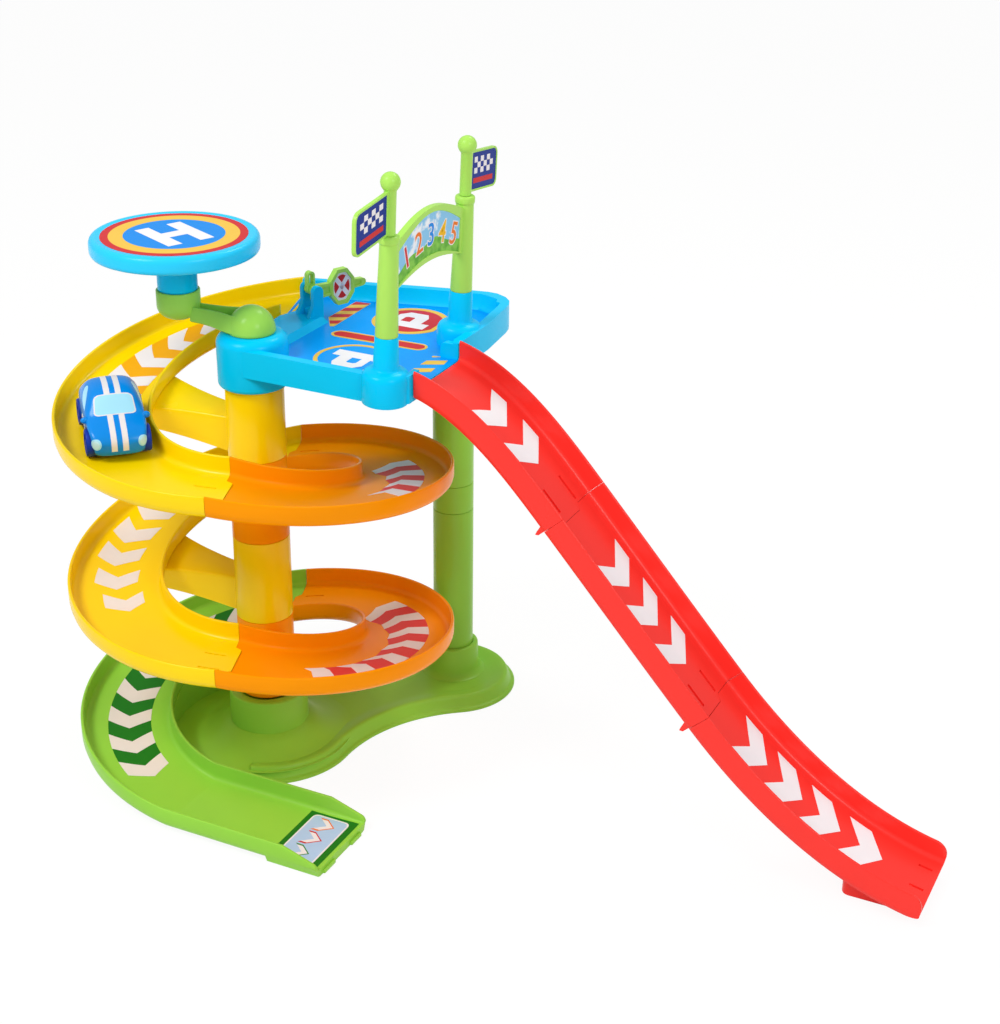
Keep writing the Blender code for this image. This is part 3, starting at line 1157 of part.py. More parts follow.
def ramp_piece(name, number, red):
    at, length = ramp_curve(RAMP_KNOTS[number], RAMP_KNOTS[number + 1])
    first_piece = number == 0
    last_piece = number == len(RAMP_KNOTS) - 2

    def place(along, pair, across, down):
        reach = SEAM_REACH if on_tongue(pair) else 0
        first = 0 if first_piece else (reach + FIT_GAP) / length
        last = 1 if last_piece else 1 + reach / length
        t = first + (last - first) * along
        x, z, slope = at(t)
        upright = max(0, 1 - 3 * t) if first_piece else 0
        if last_piece:
            left = (1 - t) * length
            if left < RAMP_END_ROUND:
                drop = RAMP_END_ROUND - math.sqrt(RAMP_END_ROUND ** 2 - (RAMP_END_ROUND - left) ** 2)
                down += drop * max(0, 1 - down / (RAMP_DEPTH - CHANNEL_FILLET))
        skew = -math.tan(slope) * upright
        px = x + down * (math.sin(slope) + skew * math.cos(slope))
        pz = z + down * (-math.cos(slope) + skew * math.sin(slope))
        return Vector((px, RAMP_CENTRE_Y - RAMP_WIDTH / 2 + across, pz))
    piece = object_from(channel(ramp_pairs(), RAMP_STEPS, place), name, red)
    if first_piece:
        join(piece, helper(ramp_hook()))
    if last_piece:
        join(piece, helper(ramp_foot(at)))
    return piece


def side_plate(outline, low_y, high_y):
    """Extrude an (x, z) outline across the ramp."""
    return loft([[(x, y, z) for x, z in outline] for y in (low_y, high_y)])


def ramp_hook():
    """Lip under the head of the ramp that holds the lower edge of the deck."""
    near = DECK_RIGHT_X + FIT_GAP
    far = near + CHANNEL_WALL + FIT_GAP
    lip_top = DECK_FOOT_Z - FIT_GAP
    lip_foot = lip_top - CHANNEL_WALL
    top = RAMP_START_RIM_Z - RAMP_DEPTH - CHANNEL_WALL / 2
    back = near - RAMP_HOOK_REACH
    outline = [(back, lip_foot), (far + BURY, lip_foot), (far + BURY, top - BURY), (RAMP_START_X, top),
               (RAMP_START_X - BURY / 2, lip_top + BURY), (near, lip_top), (back, lip_top)]
    return side_plate(outline, RAMP_CENTRE_Y - RAMP_HOOK_WIDTH / 2, RAMP_CENTRE_Y + RAMP_HOOK_WIDTH / 2)


def ramp_foot(at):
    """Hollow foot under the end of the ramp, open below."""
    def underside(x):
        t = 0.5
        for _ in range(30):
            t += (x - at(t)[0]) / (at(1)[0] - at(0)[0])
        return at(t)[1] - (RAMP_DEPTH + CHANNEL_WALL / 2) / math.cos(at(t)[2])
    start, end = RAMP_FOOT_START_X, RAMP_FOOT_END_X
    half = RAMP_FOOT_WIDTH / 2
    corner = RAMP_FOOT_ROUND
    middle = RAMP_CENTRE_Y
    plan = arc(end - corner, middle + half - corner, corner, 0, QUARTER_TURN, 3)
    plan += arc(start + corner, middle + half - corner, corner, QUARTER_TURN, HALF_TURN, 3)
    plan += arc(start + corner, middle - half + corner, corner, HALF_TURN, HALF_TURN + QUARTER_TURN, 3)
    plan += arc(end - corner, middle - half + corner, corner, -QUARTER_TURN, 0, 3)
    centre = (start + end) / 2
    shrink = 1 - CHANNEL_WALL / half
    inner = [(centre + (x - centre) * shrink, middle + (y - middle) * shrink) for x, y in plan]
    ceiling = [(x, y, underside(x) - CHANNEL_WALL) for x, y in inner]
    return loft([ceiling, [(x, y, 0) for x, y in inner], [(x, y, 0) for x, y in plan],
                 [(x, y, underside(x)) for x, y in plan]])


# Car

def car_matrix():
    """Place of the car: on the upper yellow floor, nose down the track."""
    turn = CAR_ANGLE - FRONT_SEAM_ANGLE - FULL_TURN
    half_turn = CAR_WHEELBASE / 2 / CAR_TRACK_RADIUS
    depth = CHANNEL_HEIGHT - CHANNEL_WALL
    ahead = upper_yellow_rim(turn + half_turn)
    behind = upper_yellow_rim(turn - half_turn)
    pitch = math.atan2(behind - ahead, CAR_WHEELBASE)
    floor = (ahead + behind) / 2 - depth + CAR_LIFT
    place = polar(CAR_TRACK_RADIUS, CAR_ANGLE, floor)
    return Matrix.Translation(place) @ Matrix.Rotation(CAR_ANGLE + QUARTER_TURN, 4, "Z") @ \
        Matrix.Rotation(pitch, 4, "Y")


def car_section(x, half_width, foot, belt, roof_half, roof):
    """Closed ring of points round the body at one place along it."""
    side = [(half_width * SILL_WIDTH_SHARE, foot),
            (half_width, foot + (belt - foot) * FLANK_LOW_SHARE),
            (half_width, foot + (belt - foot) * FLANK_HIGH_SHARE),
            (half_width * BELT_WIDTH_SHARE, belt),
            (roof_half, belt + (roof - belt) * ROOF_EDGE_SHARE),
            (roof_half * ROOF_FLAT_SHARE, roof)]
    ring = [(x, y, z) for y, z in side]
    return ring + [(x, -y, z) for y, z in reversed(side)]


def car_body_mesh():
    half = CAR_WIDTH / 2
    stations = []
    for place, wide, low, belt, top in CAR_SECTION_SHARES:
        cabin = top > CABIN_FROM_SHARE
        roof_half = half * wide * (CABIN_ROOF_WIDTH_SHARE if cabin else BONNET_WIDTH_SHARE)
        bottom = max(CAR_SILL_Z, low * CAR_HEIGHT)
        stations.append(car_section(place * CAR_LENGTH / 2, half * wide, bottom, belt * CAR_HEIGHT,
                                    roof_half, top * CAR_HEIGHT))
    return loft(stations)


def car(blue, dark, grey):
    """Body shell, chassis with axle bearings, two axles and four wheels, all parented to the car's empty."""
    carrier = bpy.data.objects.new("car", None)
    bpy.context.scene.collection.objects.link(carrier)
    carrier.matrix_world = car_matrix()
    body = object_from(car_body_mesh(), "car_body", blue)
    cavity_x = CAR_LENGTH / 2 * CAVITY_LENGTH_SHARE
    inner_y = CHASSIS_WIDTH / 2 + CHANNEL_WALL
    low = CAR_SILL_Z - CUT_OVERRUN
    cabin_y = inner_y * CABIN_WIDTH_SHARE
    cut(body, helper(block((-cavity_x, -inner_y, low), (cavity_x, inner_y, CAR_HEIGHT * CAVITY_BELT_SHARE))),
        helper(block((-cavity_x * CABIN_REAR_SHARE, -cabin_y, CAR_SILL_Z),
                     (cavity_x * CABIN_FRONT_SHARE, cabin_y, CAR_HEIGHT * CABIN_TOP_SHARE))))
    axle_z = WHEEL_RADIUS
    arch = WHEEL_RADIUS + ARCH_CLEARANCE
    half_base = CAR_WHEELBASE / 2
    wheel_inner = CAR_TRACK / 2 - WHEEL_WIDTH / 2
    for x in (-half_base, half_base):
        ring = [(x + a, z) for a, z in arc(0, axle_z, arch, 0, FULL_TURN, 20)[:-1]]
        for side in (-1, 1):
            near, far = sorted((side * (wheel_inner - ARCH_CLEARANCE), side * CAR_WIDTH))
            cut(body, helper(side_plate(ring, near, far)))
    chassis_half = cavity_x - FIT_GAP
    chassis_y = CHASSIS_WIDTH / 2
    floor_pan = block((-chassis_half, -chassis_y, CHASSIS_Z),
                      (chassis_half, chassis_y, CHASSIS_Z + CHASSIS_THICKNESS / 2))
    chassis = object_from(floor_pan, "car_chassis", dark)
    hole = [(a, z) for a, z in arc(0, axle_z, AXLE_RADIUS + FIT_GAP, 0, FULL_TURN, 12)[:-1]]
    for x in (-half_base, half_base):
        bearing = block((x - CHASSIS_THICKNESS, -chassis_y + BURY, CHASSIS_Z + BURY),
                        (x + CHASSIS_THICKNESS, chassis_y - BURY, axle_z + CHASSIS_THICKNESS))
        join(chassis, helper(bearing))
        cut(chassis, helper(side_plate([(x + a, z) for a, z in hole], -CAR_WIDTH, CAR_WIDTH)))
    parts = [body, chassis]
    width = WHEEL_WIDTH
    edge = WHEEL_DISH
    bore = AXLE_RADIUS + FIT_GAP
    depth = width / 2
    wheel = [(0, depth), (bore, depth), (bore, 0), (WHEEL_RADIUS, 0), (WHEEL_RADIUS, width - edge),
             (WHEEL_RADIUS - edge, width), (WHEEL_HUB_RADIUS, width - edge), (0, width - edge)]
    for x, end_name in ((half_base, "front"), (-half_base, "rear")):
        axle_half = wheel_inner + depth - FIT_GAP
        rod = [(a, z) for a, z in arc(0, 0, AXLE_RADIUS, 0, FULL_TURN, 12)[:-1]]
        axle = object_from(loft([[(a, y, z) for a, z in rod] for y in (-axle_half, axle_half)]),
                           "car_axle_" + end_name, grey)
        axle.location = (x, 0, axle_z)
        parts.append(axle)
        for side, side_name in ((1, "left"), (-1, "right")):
            name = "car_wheel_" + end_name + "_" + side_name
            disc = object_from(turned(wheel, WHEEL_SIDES), name, dark)
            disc.rotation_euler = (-side * QUARTER_TURN, 0, 0)
            disc.location = (x, side * wheel_inner, axle_z)
            parts.append(disc)
    for part in parts:
        part.parent = carrier
    return parts


def build():
    clear_scene()
    yellow = material("yellow_plastic", 1.0, 0.68, 0.0)
    orange = material("orange_plastic", 1.0, 0.25, 0.005)
    green = material("green_plastic", 0.20, 0.55, 0.045)
    light_green = material("light_green_plastic", 0.37, 0.72, 0.11)
    blue = material("blue_plastic", 0.0, 0.58, 0.94)
    cyan = material("cyan_plastic", 0.015, 0.63, 1.0)
    red = material("red_plastic", 1.0, 0.07, 0.045)
    car_blue = material("car_blue_plastic", 0.01, 0.17, 0.70, 0.25)
    dark_blue = material("dark_blue_plastic", 0.01, 0.04, 0.25, 0.5)
    steel = material("steel", 0.6, 0.6, 0.62, 0.3)
    base(green)
    spiral(yellow, orange)
    pillar(light_green)
    deck(blue)
    gate(light_green)
    flagpole("flagpole_near", GATE_NEAR_Y, -1, light_green)
    flagpole("flagpole_far", GATE_FAR_Y, 1, light_green)
    barrier(light_green, steel)
    helipad(green, cyan)
    for number, name in enumerate(("ramp_top", "ramp_middle", "ramp_bottom")):
        ramp_piece(name, number, red)
    car(car_blue, dark_blue, steel)


build()
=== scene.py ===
"""A moulded plastic race track toy on a pale studio floor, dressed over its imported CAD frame."""
import math

import bmesh
import bpy
from mathutils import Matrix, Vector
from mathutils.bvhtree import BVHTree


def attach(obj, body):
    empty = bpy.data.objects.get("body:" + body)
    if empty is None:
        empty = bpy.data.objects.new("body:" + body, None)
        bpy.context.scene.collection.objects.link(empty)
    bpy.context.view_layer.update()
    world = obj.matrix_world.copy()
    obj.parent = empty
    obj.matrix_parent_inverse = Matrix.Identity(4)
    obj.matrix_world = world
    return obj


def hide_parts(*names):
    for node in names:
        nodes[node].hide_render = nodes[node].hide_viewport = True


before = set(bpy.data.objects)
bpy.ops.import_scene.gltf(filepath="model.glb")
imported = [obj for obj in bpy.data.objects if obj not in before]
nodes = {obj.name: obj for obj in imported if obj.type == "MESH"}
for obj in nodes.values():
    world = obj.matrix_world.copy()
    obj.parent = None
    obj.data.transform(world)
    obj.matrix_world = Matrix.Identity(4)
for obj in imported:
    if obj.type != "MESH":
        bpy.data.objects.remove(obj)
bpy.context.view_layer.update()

MM = 0.001


# Colour and node helpers

def linear(code):
    """Linear RGBA of an sRGB hex colour."""
    channels = [int(code[i:i + 2], 16) / 255 for i in (1, 3, 5)]
    return tuple(c / 12.92 if c <= 0.04045 else ((c + 0.055) / 1.055) ** 2.4 for c in channels) + (1.0,)


def feed(tree, node, inputs):
    """Give a node its inputs by socket name or number: a socket is linked, anything else is a value."""
    for key, value in inputs.items():
        if isinstance(value, bpy.types.NodeSocket):
            tree.links.new(value, node.inputs[key])
        else:
            node.inputs[key].default_value = value


def add(tree, kind, inputs=None, **settings):
    """Add one node: settings are its own properties, inputs are fed to its sockets."""
    node = tree.nodes.new(kind)
    for key, value in settings.items():
        setattr(node, key, value)
    feed(tree, node, inputs or {})
    return node


def noise(tree, place, size, detail, more=None):
    """Noise with features about size millimetres across."""
    inputs = {"Vector": place, "Scale": 1 / (size * MM), "Detail": detail, **(more or {})}
    return add(tree, "ShaderNodeTexNoise", inputs).outputs["Fac"]


def spread(tree, value, ends):
    """A value mapped from one range to another."""
    return add(tree, "ShaderNodeMapRange", {"Value": value, **ends}).outputs["Result"]


def blend(tree, share, low, high):
    """Two colours mixed by a share."""
    return add(tree, "ShaderNodeMix", {"Factor": share, 6: low, 7: high}, data_type="RGBA").outputs[2]


def bumped(tree, height, strength, depth, more=None):
    """A normal bumped by a height, depth in millimetres."""
    inputs = {"Height": height, "Strength": strength, "Distance": depth * MM, **(more or {})}
    return add(tree, "ShaderNodeBump", inputs).outputs["Normal"]


def blank(name):
    """A new material with its tree and its shader."""
    material = bpy.data.materials.new(name)
    material.use_nodes = True
    return material, material.node_tree, material.node_tree.nodes["Principled BSDF"]


def fresh(name):
    """A new material with its tree, its shader and its object coordinates."""
    material, tree, shader = blank(name)
    return material, tree, shader, add(tree, "ShaderNodeTexCoord").outputs["Object"]


def shaded(code, share):
    """A darker or lighter neighbour of a colour, for the slow drift of pigment through a moulding."""
    base = linear(code)
    return tuple(min(1.0, c * share) for c in base[:3]) + (1.0,)


PIGMENT_DRIFT = 0.05
INK_WEAR = 0.03
FILM_SPECULAR = 0.15


def moulded(name, code, roughness=0.25, specular=0.15):
    """ABS from a polished mould: one pigment with a slow drift, a faint sink and ripple, an even satin gloss.
    The ripple of the mould is about 0.4 mm in the real thing and is drawn at twice that to show."""
    material, tree, shader, place = fresh(name)
    flow = noise(tree, place, 45, 3.0)
    pigment = blend(tree, flow, shaded(code, 1 - PIGMENT_DRIFT), shaded(code, 1 + PIGMENT_DRIFT))
    ripple = noise(tree, place, 0.9, 2.0)
    gloss = spread(tree, flow, {"To Min": roughness - 0.04, "To Max": roughness + 0.05})
    sink = noise(tree, place, 18, 1.0)
    broad = bumped(tree, sink, 0.25, 0.25)
    fine = bumped(tree, ripple, 0.16, 0.05, {"Normal": broad})
    feed(tree, shader, {"Base Color": pigment, "Roughness": gloss, "Normal": fine, "IOR": 1.53,
                        "Specular IOR Level": specular})
    return material


def printed(name, code, roughness=0.42):
    """Printed vinyl film: flat ink under a satin laminate, with a faint screen in the ink.
    The real screen is about 0.15 mm and is drawn at 0.5 mm."""
    material, tree, shader, place = fresh(name)
    screen = noise(tree, place, 0.5, 1.0)
    cloud = noise(tree, place, 14, 2.0)
    ink = blend(tree, cloud, shaded(code, 1 - INK_WEAR), shaded(code, 1 + INK_WEAR))
    feed(tree, shader, {"Base Color": ink, "Normal": bumped(tree, screen, 0.12, 0.03), "Roughness": roughness,
                        "IOR": 1.48, "Specular IOR Level": FILM_SPECULAR})
    return material


yellow_abs = moulded("yellow_abs", "#FFD600", specular=0.18)
orange_abs = moulded("orange_abs", "#FF9802", specular=0.05)
base_green_abs = moulded("base_green_abs", "#96D646", 0.34)
light_green_abs = moulded("light_green_abs", "#AEE462")
arm_green_abs = moulded("arm_green_abs", "#9EDA58")
pillar_green_abs = moulded("pillar_green_abs", "#92D244")
deck_blue_abs = moulded("deck_blue_abs", "#00C8FA", specular=0.08)
pad_cyan_abs = moulded("pad_cyan_abs", "#28CCFF")
ramp_red_abs = moulded("ramp_red_abs", "#FA362E", specular=0.20)
car_blue_abs = moulded("car_blue_abs", "#028AE4", 0.22, specular=0.24)
wheel_blue_abs = moulded("wheel_blue_abs", "#1238A8", 0.36)


def paint_floor_shade(material, code, low, high):
    """Painted shade: a deeper colour on what faces up below a height, standing in for the shade that falls on the floor
    of the tray.
    """
    tree = material.node_tree
    shader = tree.nodes["Principled BSDF"]
    pigment = shader.inputs["Base Color"].links[0].from_socket
    place = add(tree, "ShaderNodeSeparateXYZ", {0: add(tree, "ShaderNodeTexCoord").outputs["Object"]})
    facing = add(tree, "ShaderNodeSeparateXYZ", {0: add(tree, "ShaderNodeNewGeometry").outputs["Normal"]})
    depth = spread(tree, place.outputs["Z"], {"From Min": high, "From Max": low})
    level = spread(tree, facing.outputs["Z"], {"From Min": 0.55, "From Max": 0.95})
    share = add(tree, "ShaderNodeMath", {0: depth, 1: level}, operation="MULTIPLY")
    feed(tree, shader, {"Base Color": blend(tree, share.outputs[0], pigment, linear(code))})


# Painted shade: the floor of the tray is drawn a deeper blue than its walls and rim.
paint_floor_shade(deck_blue_abs, "#049EF8", 329.4 * MM, 336 * MM)


def drawn_steel(name):
    """Drawn steel wire: bright, with faint die lines round it."""
    material, tree, shader, place = fresh(name)
    gloss = spread(tree, noise(tree, place, 0.4, 2.0), {"To Min": 0.22, "To Max": 0.38})
    feed(tree, shader, {"Roughness": gloss, "Base Color": linear("#C9CBD0"), "Metallic": 1.0})
    return material


steel = drawn_steel("drawn_steel")

for finish, names in (
        (base_green_abs, "base"), (orange_abs, "lower_orange_track upper_orange_track"),
        (yellow_abs, "lower_yellow_track upper_yellow_track"), (deck_blue_abs, "deck"),
        (pillar_green_abs, "pillar_lower pillar_coupler pillar_upper"),
        (light_green_abs, "gate_arch flagpole_near flagpole_far barrier_arm"),
        (arm_green_abs, "helipad_arm"), (pad_cyan_abs, "helipad_disc"),
        (ramp_red_abs, "ramp_top ramp_middle ramp_bottom"), (car_blue_abs, "car_body"),
        (wheel_blue_abs, "car_chassis car_wheel_front_left car_wheel_front_right car_wheel_rear_left "
                         "car_wheel_rear_right"),
        (steel, "barrier_pin car_axle_front car_axle_rear")):
    for name in names.split():
        nodes[name].data.materials.clear()
        nodes[name].data.materials.append(finish)

# Material slot of a piece by its finish; films have none
SLOTS = {"yellow_abs": "yellow_plastic", "orange_abs": "orange_plastic", "base_green_abs": "green_plastic",
         "pillar_green_abs": "green_plastic", "arm_green_abs": "green_plastic",
         "light_green_abs": "light_green_plastic", "deck_blue_abs": "blue_plastic",
         "pad_cyan_abs": "cyan_plastic", "ramp_red_abs": "red_plastic", "car_blue_abs": "car_blue_plastic",
         "wheel_blue_abs": "dark_blue_plastic"}


# Shared shape helpers

FULL = 2 * math.pi
HALF = math.pi
QUARTER = math.pi / 2


def meshed(bm, name):
    """Bake a bmesh with its faces turned outwards, and free it."""
    bmesh.ops.recalc_face_normals(bm, faces=bm.faces)
    mesh = bpy.data.meshes.new(name)
    bm.to_mesh(mesh)
    bm.free()
    return mesh


def placed(name, data):
    """An object in the scene's collection."""
    thing = bpy.data.objects.new(name, data)
    bpy.context.scene.collection.objects.link(thing)
    return thing


def finished(bm, name, finish, body="tower", round_edge=0.0, sharp=38, parts=3, slot=None):
    """Turn a bmesh into a riding piece."""
    return dressed(meshed(bm, name), name, finish, body, round_edge, sharp, parts, slot)


def dressed(mesh, name, finish, body="tower", round_edge=0.0, sharp=38, parts=3, slot=None):
    """Turn a mesh into a riding piece; a live bevel rounds the edges of the mould."""
    mesh.materials.clear()
    mesh.materials.append(finish)
    mesh.shade_smooth()
    piece = placed(name, mesh)
    if round_edge:
        bevel = piece.modifiers.new("mould_radius", "BEVEL")
        bevel.width = round_edge
        bevel.segments = parts
        bevel.limit_method = "ANGLE"
        bevel.angle_limit = math.radians(sharp)
        bevel.harden_normals = True
    else:
        mesh.set_sharp_from_angle(angle=math.radians(sharp))
    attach(piece, body)
    slot = slot or SLOTS.get(finish.name)
    return piece


def shape(bm):
    """A bmesh as a loose mesh object, for a Boolean."""
    return placed("tool", meshed(bm, "tool"))


def cut(bm):
    return "DIFFERENCE", shape(bm)


def fuse(bm):
    return "UNION", shape(bm)


def baked(thing):
    """A thing's mesh with its modifiers applied."""
    bpy.context.view_layer.update()
    return bpy.data.meshes.new_from_object(thing.evaluated_get(bpy.context.evaluated_depsgraph_get()))


def settle(thing):
    """Apply a loose thing's modifiers to it."""
    made = baked(thing)
    thing.modifiers.clear()
    old = thing.data
    thing.data = made
    bpy.data.meshes.remove(old)


def solid(start, *steps):
    """Cut or join shapes one after another and hand back the mesh; uses them all up."""
    for operation, tool in steps:
        modifier = start.modifiers.new("step", "BOOLEAN")
        modifier.operation = operation
        modifier.solver = "EXACT"
        modifier.object = tool
        settle(start)
        spare = tool.data
        bpy.data.objects.remove(tool, do_unlink=True)
        bpy.data.meshes.remove(spare)
    mesh = start.data
    bpy.data.objects.remove(start, do_unlink=True)
    return mesh


def loft(stations, cap=None):
    """Extrude a face, or a patch of faces, through stations of matching points."""
    bm = bmesh.new()
    place = bm.verts.layers.int.new("place")
    verts = []
    for number, point in enumerate(stations[0]):
        vert = bm.verts.new(point)
        vert[place] = number
        verts.append(vert)
    faces = [bm.faces.new([verts[number] for number in patch]) for patch in cap or [range(len(verts))]]
    for count, points in enumerate(stations[1:]):
        made = bmesh.ops.extrude_face_region(bm, geom=faces)["geom"]
        if count:
            bmesh.ops.delete(bm, geom=faces, context="FACES_ONLY")
        for item in made:
            if isinstance(item, bmesh.types.BMVert):
                item.co = points[item[place]]
        faces = [item for item in made if isinstance(item, bmesh.types.BMFace)]
    bmesh.ops.delete(bm, geom=[edge for edge in bm.edges if not edge.link_faces], context="EDGES")
    return bm


def turned(profile, sides=72, centre=(0, 0, 0)):
    """Spin (radius, z) points: a closed ring, or a line that starts and ends on the axis."""
    bm = bmesh.new()
    verts = [bm.verts.new((radius, 0, z)) for radius, z in profile]
    on_axis = profile[0][0] == 0 and profile[-1][0] == 0
    count = len(verts) - 1 if on_axis else len(verts)
    edges = [bm.edges.new((verts[i], verts[(i + 1) % len(verts)])) for i in range(count)]
    bmesh.ops.spin(bm, geom=verts + edges, cent=(0, 0, 0), axis=(0, 0, 1), angle=FULL, steps=sides, use_merge=True)
    bmesh.ops.remove_doubles(bm, verts=bm.verts, dist=0.001 * MM)
    bmesh.ops.translate(bm, verts=bm.verts, vec=centre)
    return bm


def prism(outline, low, high):
    return loft([[(x, y, low) for x, y in outline], [(x, y, high) for x, y in outline]])


def arc(x, y, radius, start, end, steps):
    return [(x + radius * math.cos(start + (end - start) * i / steps),
             y + radius * math.sin(start + (end - start) * i / steps)) for i in range(steps + 1)]


def circle(x, y, radius, steps=72):
    return arc(x, y, radius, 0, FULL, steps)[:-1]


def inmm(points):
    return [tuple(value * MM for value in point) for point in points]


def mm_vector(x, y, z):
    return Vector(inmm([(x, y, z)])[0])


def polar(radius, angle, z):
    return Vector((radius * math.cos(angle), radius * math.sin(angle), z))


def rounded(profile, radius, steps=3):
    """The same outline with each corner turned into a small arc."""
    points = []
    count = len(profile)
    for i, here in enumerate(profile):
        a = Vector(profile[i - 1])
        b = Vector(here)
        c = Vector(profile[(i + 1) % count])
        on_axis = b.x == 0
        turn = (b - a).angle_signed(c - b, 0) if (b - a).length and (c - b).length else 0
        if on_axis or abs(turn) < 0.15:
            points.append(tuple(b))
            continue
        reach = min(radius * math.tan(abs(turn) / 2), (b - a).length * 0.45, (c - b).length * 0.45)
        start = b + (a - b).normalized() * reach
        end = b + (c - b).normalized() * reach
        for k in range(steps + 1):
            t = k / steps
            points.append(tuple(start * (1 - t) ** 2 + b * 2 * t * (1 - t) + end * t ** 2))
    return points


# Spiral course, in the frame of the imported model

TRACK_RADIUS = 76 * MM
TRACK_WIDTH = 71.9 * MM
WALL = 2.5 * MM
SIDE_HEIGHT = 16.7 * MM
INSIDE_DEPTH = 14.2 * MM
FLOOR_FILLET = 4 * MM
GAP = 0.3 * MM
REACH = 5 * MM
FRONT_SEAM = math.radians(-71)
FRONT_RIM = 281 * MM
TURN_DROP = 134.2 * MM
DECK_TURN = math.radians(2.5)
CHUTE_ANGLE = FULL + math.radians(270)
CHUTE_RIM = 20.5 * MM
DECK_RIM = 341.4 * MM
# How far each yellow half turn and the chute sag below a straight fall, and sway about it
UPPER_SAG, UPPER_SWAY = 12.7 * MM, 2.7 * MM
LOWER_SAG, LOWER_SWAY = 17 * MM, 0.8 * MM
CHUTE_SAG = 3 * MM
# Share of the floor's width where the tongue over the next piece starts and ends, and its soft edge
TONGUE_START, TONGUE_END, TONGUE_EDGE = 0.10, 0.74, 0.06


def orange_rim(turn):
    return FRONT_RIM - TURN_DROP * turn / FULL


def upper_yellow_rim(turn):
    share = turn / HALF + 1
    level = FRONT_RIM + (DECK_RIM - FRONT_RIM) * (1 - share)
    return level - UPPER_SAG * math.sin(HALF * share) + UPPER_SWAY * math.sin(FULL * share)


def lower_yellow_rim(turn):
    share = turn / HALF - 1
    return orange_rim(turn) - LOWER_SAG * math.sin(HALF * share) + LOWER_SWAY * math.sin(FULL * share)


def chute_rim(turn):
    start = 3 * HALF
    end = CHUTE_ANGLE - FRONT_SEAM
    share = min(1, (turn - start) / (end - start))
    top = orange_rim(start)
    return top + (CHUTE_RIM - top) * share - CHUTE_SAG * math.sin(HALF * share)


def channel_rows(width, depth, under):
    """Rows of (inside, outside) points across a channel, from one rolled rim to the other.
    Each point is (across, down); under gives the five outside points below the fillet."""
    rim = 1.15 * MM
    rows = []
    for k in range(4):
        t = QUARTER * k / 3
        rows.append(((WALL - rim + rim * math.sin(t), rim - rim * math.cos(t)),
                     (rim - rim * math.sin(t), rim - rim * math.cos(t))))
    for k in range(5):
        t = QUARTER * k / 4
        rows.append(((WALL + FLOOR_FILLET - FLOOR_FILLET * math.cos(t),
                      depth - FLOOR_FILLET + FLOOR_FILLET * math.sin(t)), under[k]))
    start = WALL + FLOOR_FILLET
    foot = under[-1][1]
    floor = [((start + share * (width - 2 * start), depth), (start + share * (width - 2 * start), foot))
             for share in (0.05, 0.10, 0.16, 0.30, 0.42, 0.54, 0.68, 0.74, 0.82, 0.90)]
    far = [((width - a[0], a[1]), (width - b[0], b[1])) for a, b in reversed(rows)]
    return rows + floor + far


def tongue_weight(across, width):
    """1 where the floor reaches out as a tongue, 0 beside it."""
    start = WALL + FLOOR_FILLET
    share = (across - start) / (width - 2 * start)
    return max(0.0, min(1.0, (share - TONGUE_START) / TONGUE_EDGE, (TONGUE_END - share) / TONGUE_EDGE))


def channel(rows, width, steps, place, depth=INSIDE_DEPTH):
    """Loft a channel; place(share, across, down, tongue weight) gives each point."""
    stations = []
    for step in range(steps + 1):
        share = step / steps
        stations.append([place(share, across, down, tongue_weight(across, width) if down >= depth * 0.95 else 0)
                         for side in (0, 1) for across, down in [row[side] for row in rows]])
    count = len(rows)
    return loft(stations, [(i, i + 1, count + i + 1, count + i) for i in range(count - 1)])


TRACK_ROWS = channel_rows(TRACK_WIDTH, INSIDE_DEPTH,
                          inmm([(0, 10.2), (0.9, 13.4), (2.9, 15.8), (5.2, 16.6), (6.5, 16.7)]))


def spiral_channel(rim, start, end, reach_start, reach_end, steps=72):
    def place(share, across, down, tongue):
        radius = TRACK_RADIUS + across
        first = start + (reach_start * tongue + GAP) / radius
        last = end + reach_end * tongue / radius
        turn = first + (last - first) * share
        return polar(radius, FRONT_SEAM + turn, rim(turn) - down)
    return channel(TRACK_ROWS, TRACK_WIDTH, steps, place)


def floor_slots(rim, end):
    """The two long slots in the floor just before a seam."""
    tools = []
    for across in (26 * MM, 46 * MM):
        stations = []
        for step in range(9):
            middle = TRACK_RADIUS + across
            turn = end - math.radians(10.5 - 8.5 * step / 8) * 112 * MM / middle
            z = rim(turn) - INSIDE_DEPTH
            stations.append([polar(middle + a, FRONT_SEAM + turn, z + h) for a, h in
                             inmm([(-0.7, -6), (0.7, -6), (0.7, 3), (-0.7, 3)])])
        tools.append(cut(loft(stations)))
    return tools


def spoke_solid(rim, centre, turn, top, foot):
    """Arm from the column to the underside of the inner wall, its top edges softly rounded."""
    stations = []
    for step in range(9):
        share = step / 8
        radius = (10 + 72 * share) * MM
        half = (9 + 10 * share ** 2) * MM
        half_angle = math.asin(half / max(radius, half + 3 * MM))
        ring = []
        for side in (-1, 1):
            angle = side * half_angle
            under = rim(turn + angle) - SIDE_HEIGHT + 1 * MM
            head = top + (under - top) * share
            low = foot + (under - 17 * MM - foot) * share
            corner = 2.2 * MM
            row = [polar(radius, centre + angle, low)]
            for k in range(5):
                t = QUARTER * k / 4
                inset = corner * (1 - math.cos(t)) / half
                row.append(polar(radius, centre + side * half_angle * (1 - inset), head - corner * (1 - math.sin(t))))
            ring.append(row)
        stations.append(ring[0] + ring[1][::-1])
    return loft(stations)


COLUMN_RADIUS = 21.9 * MM


def column_ring(foot, top):
    inner = COLUMN_RADIUS - 2.6 * MM
    return turned(rounded([(COLUMN_RADIUS, foot), (COLUMN_RADIUS, top - GAP), (inner, top - GAP), (inner, foot)],
                          0.5 * MM), 96)


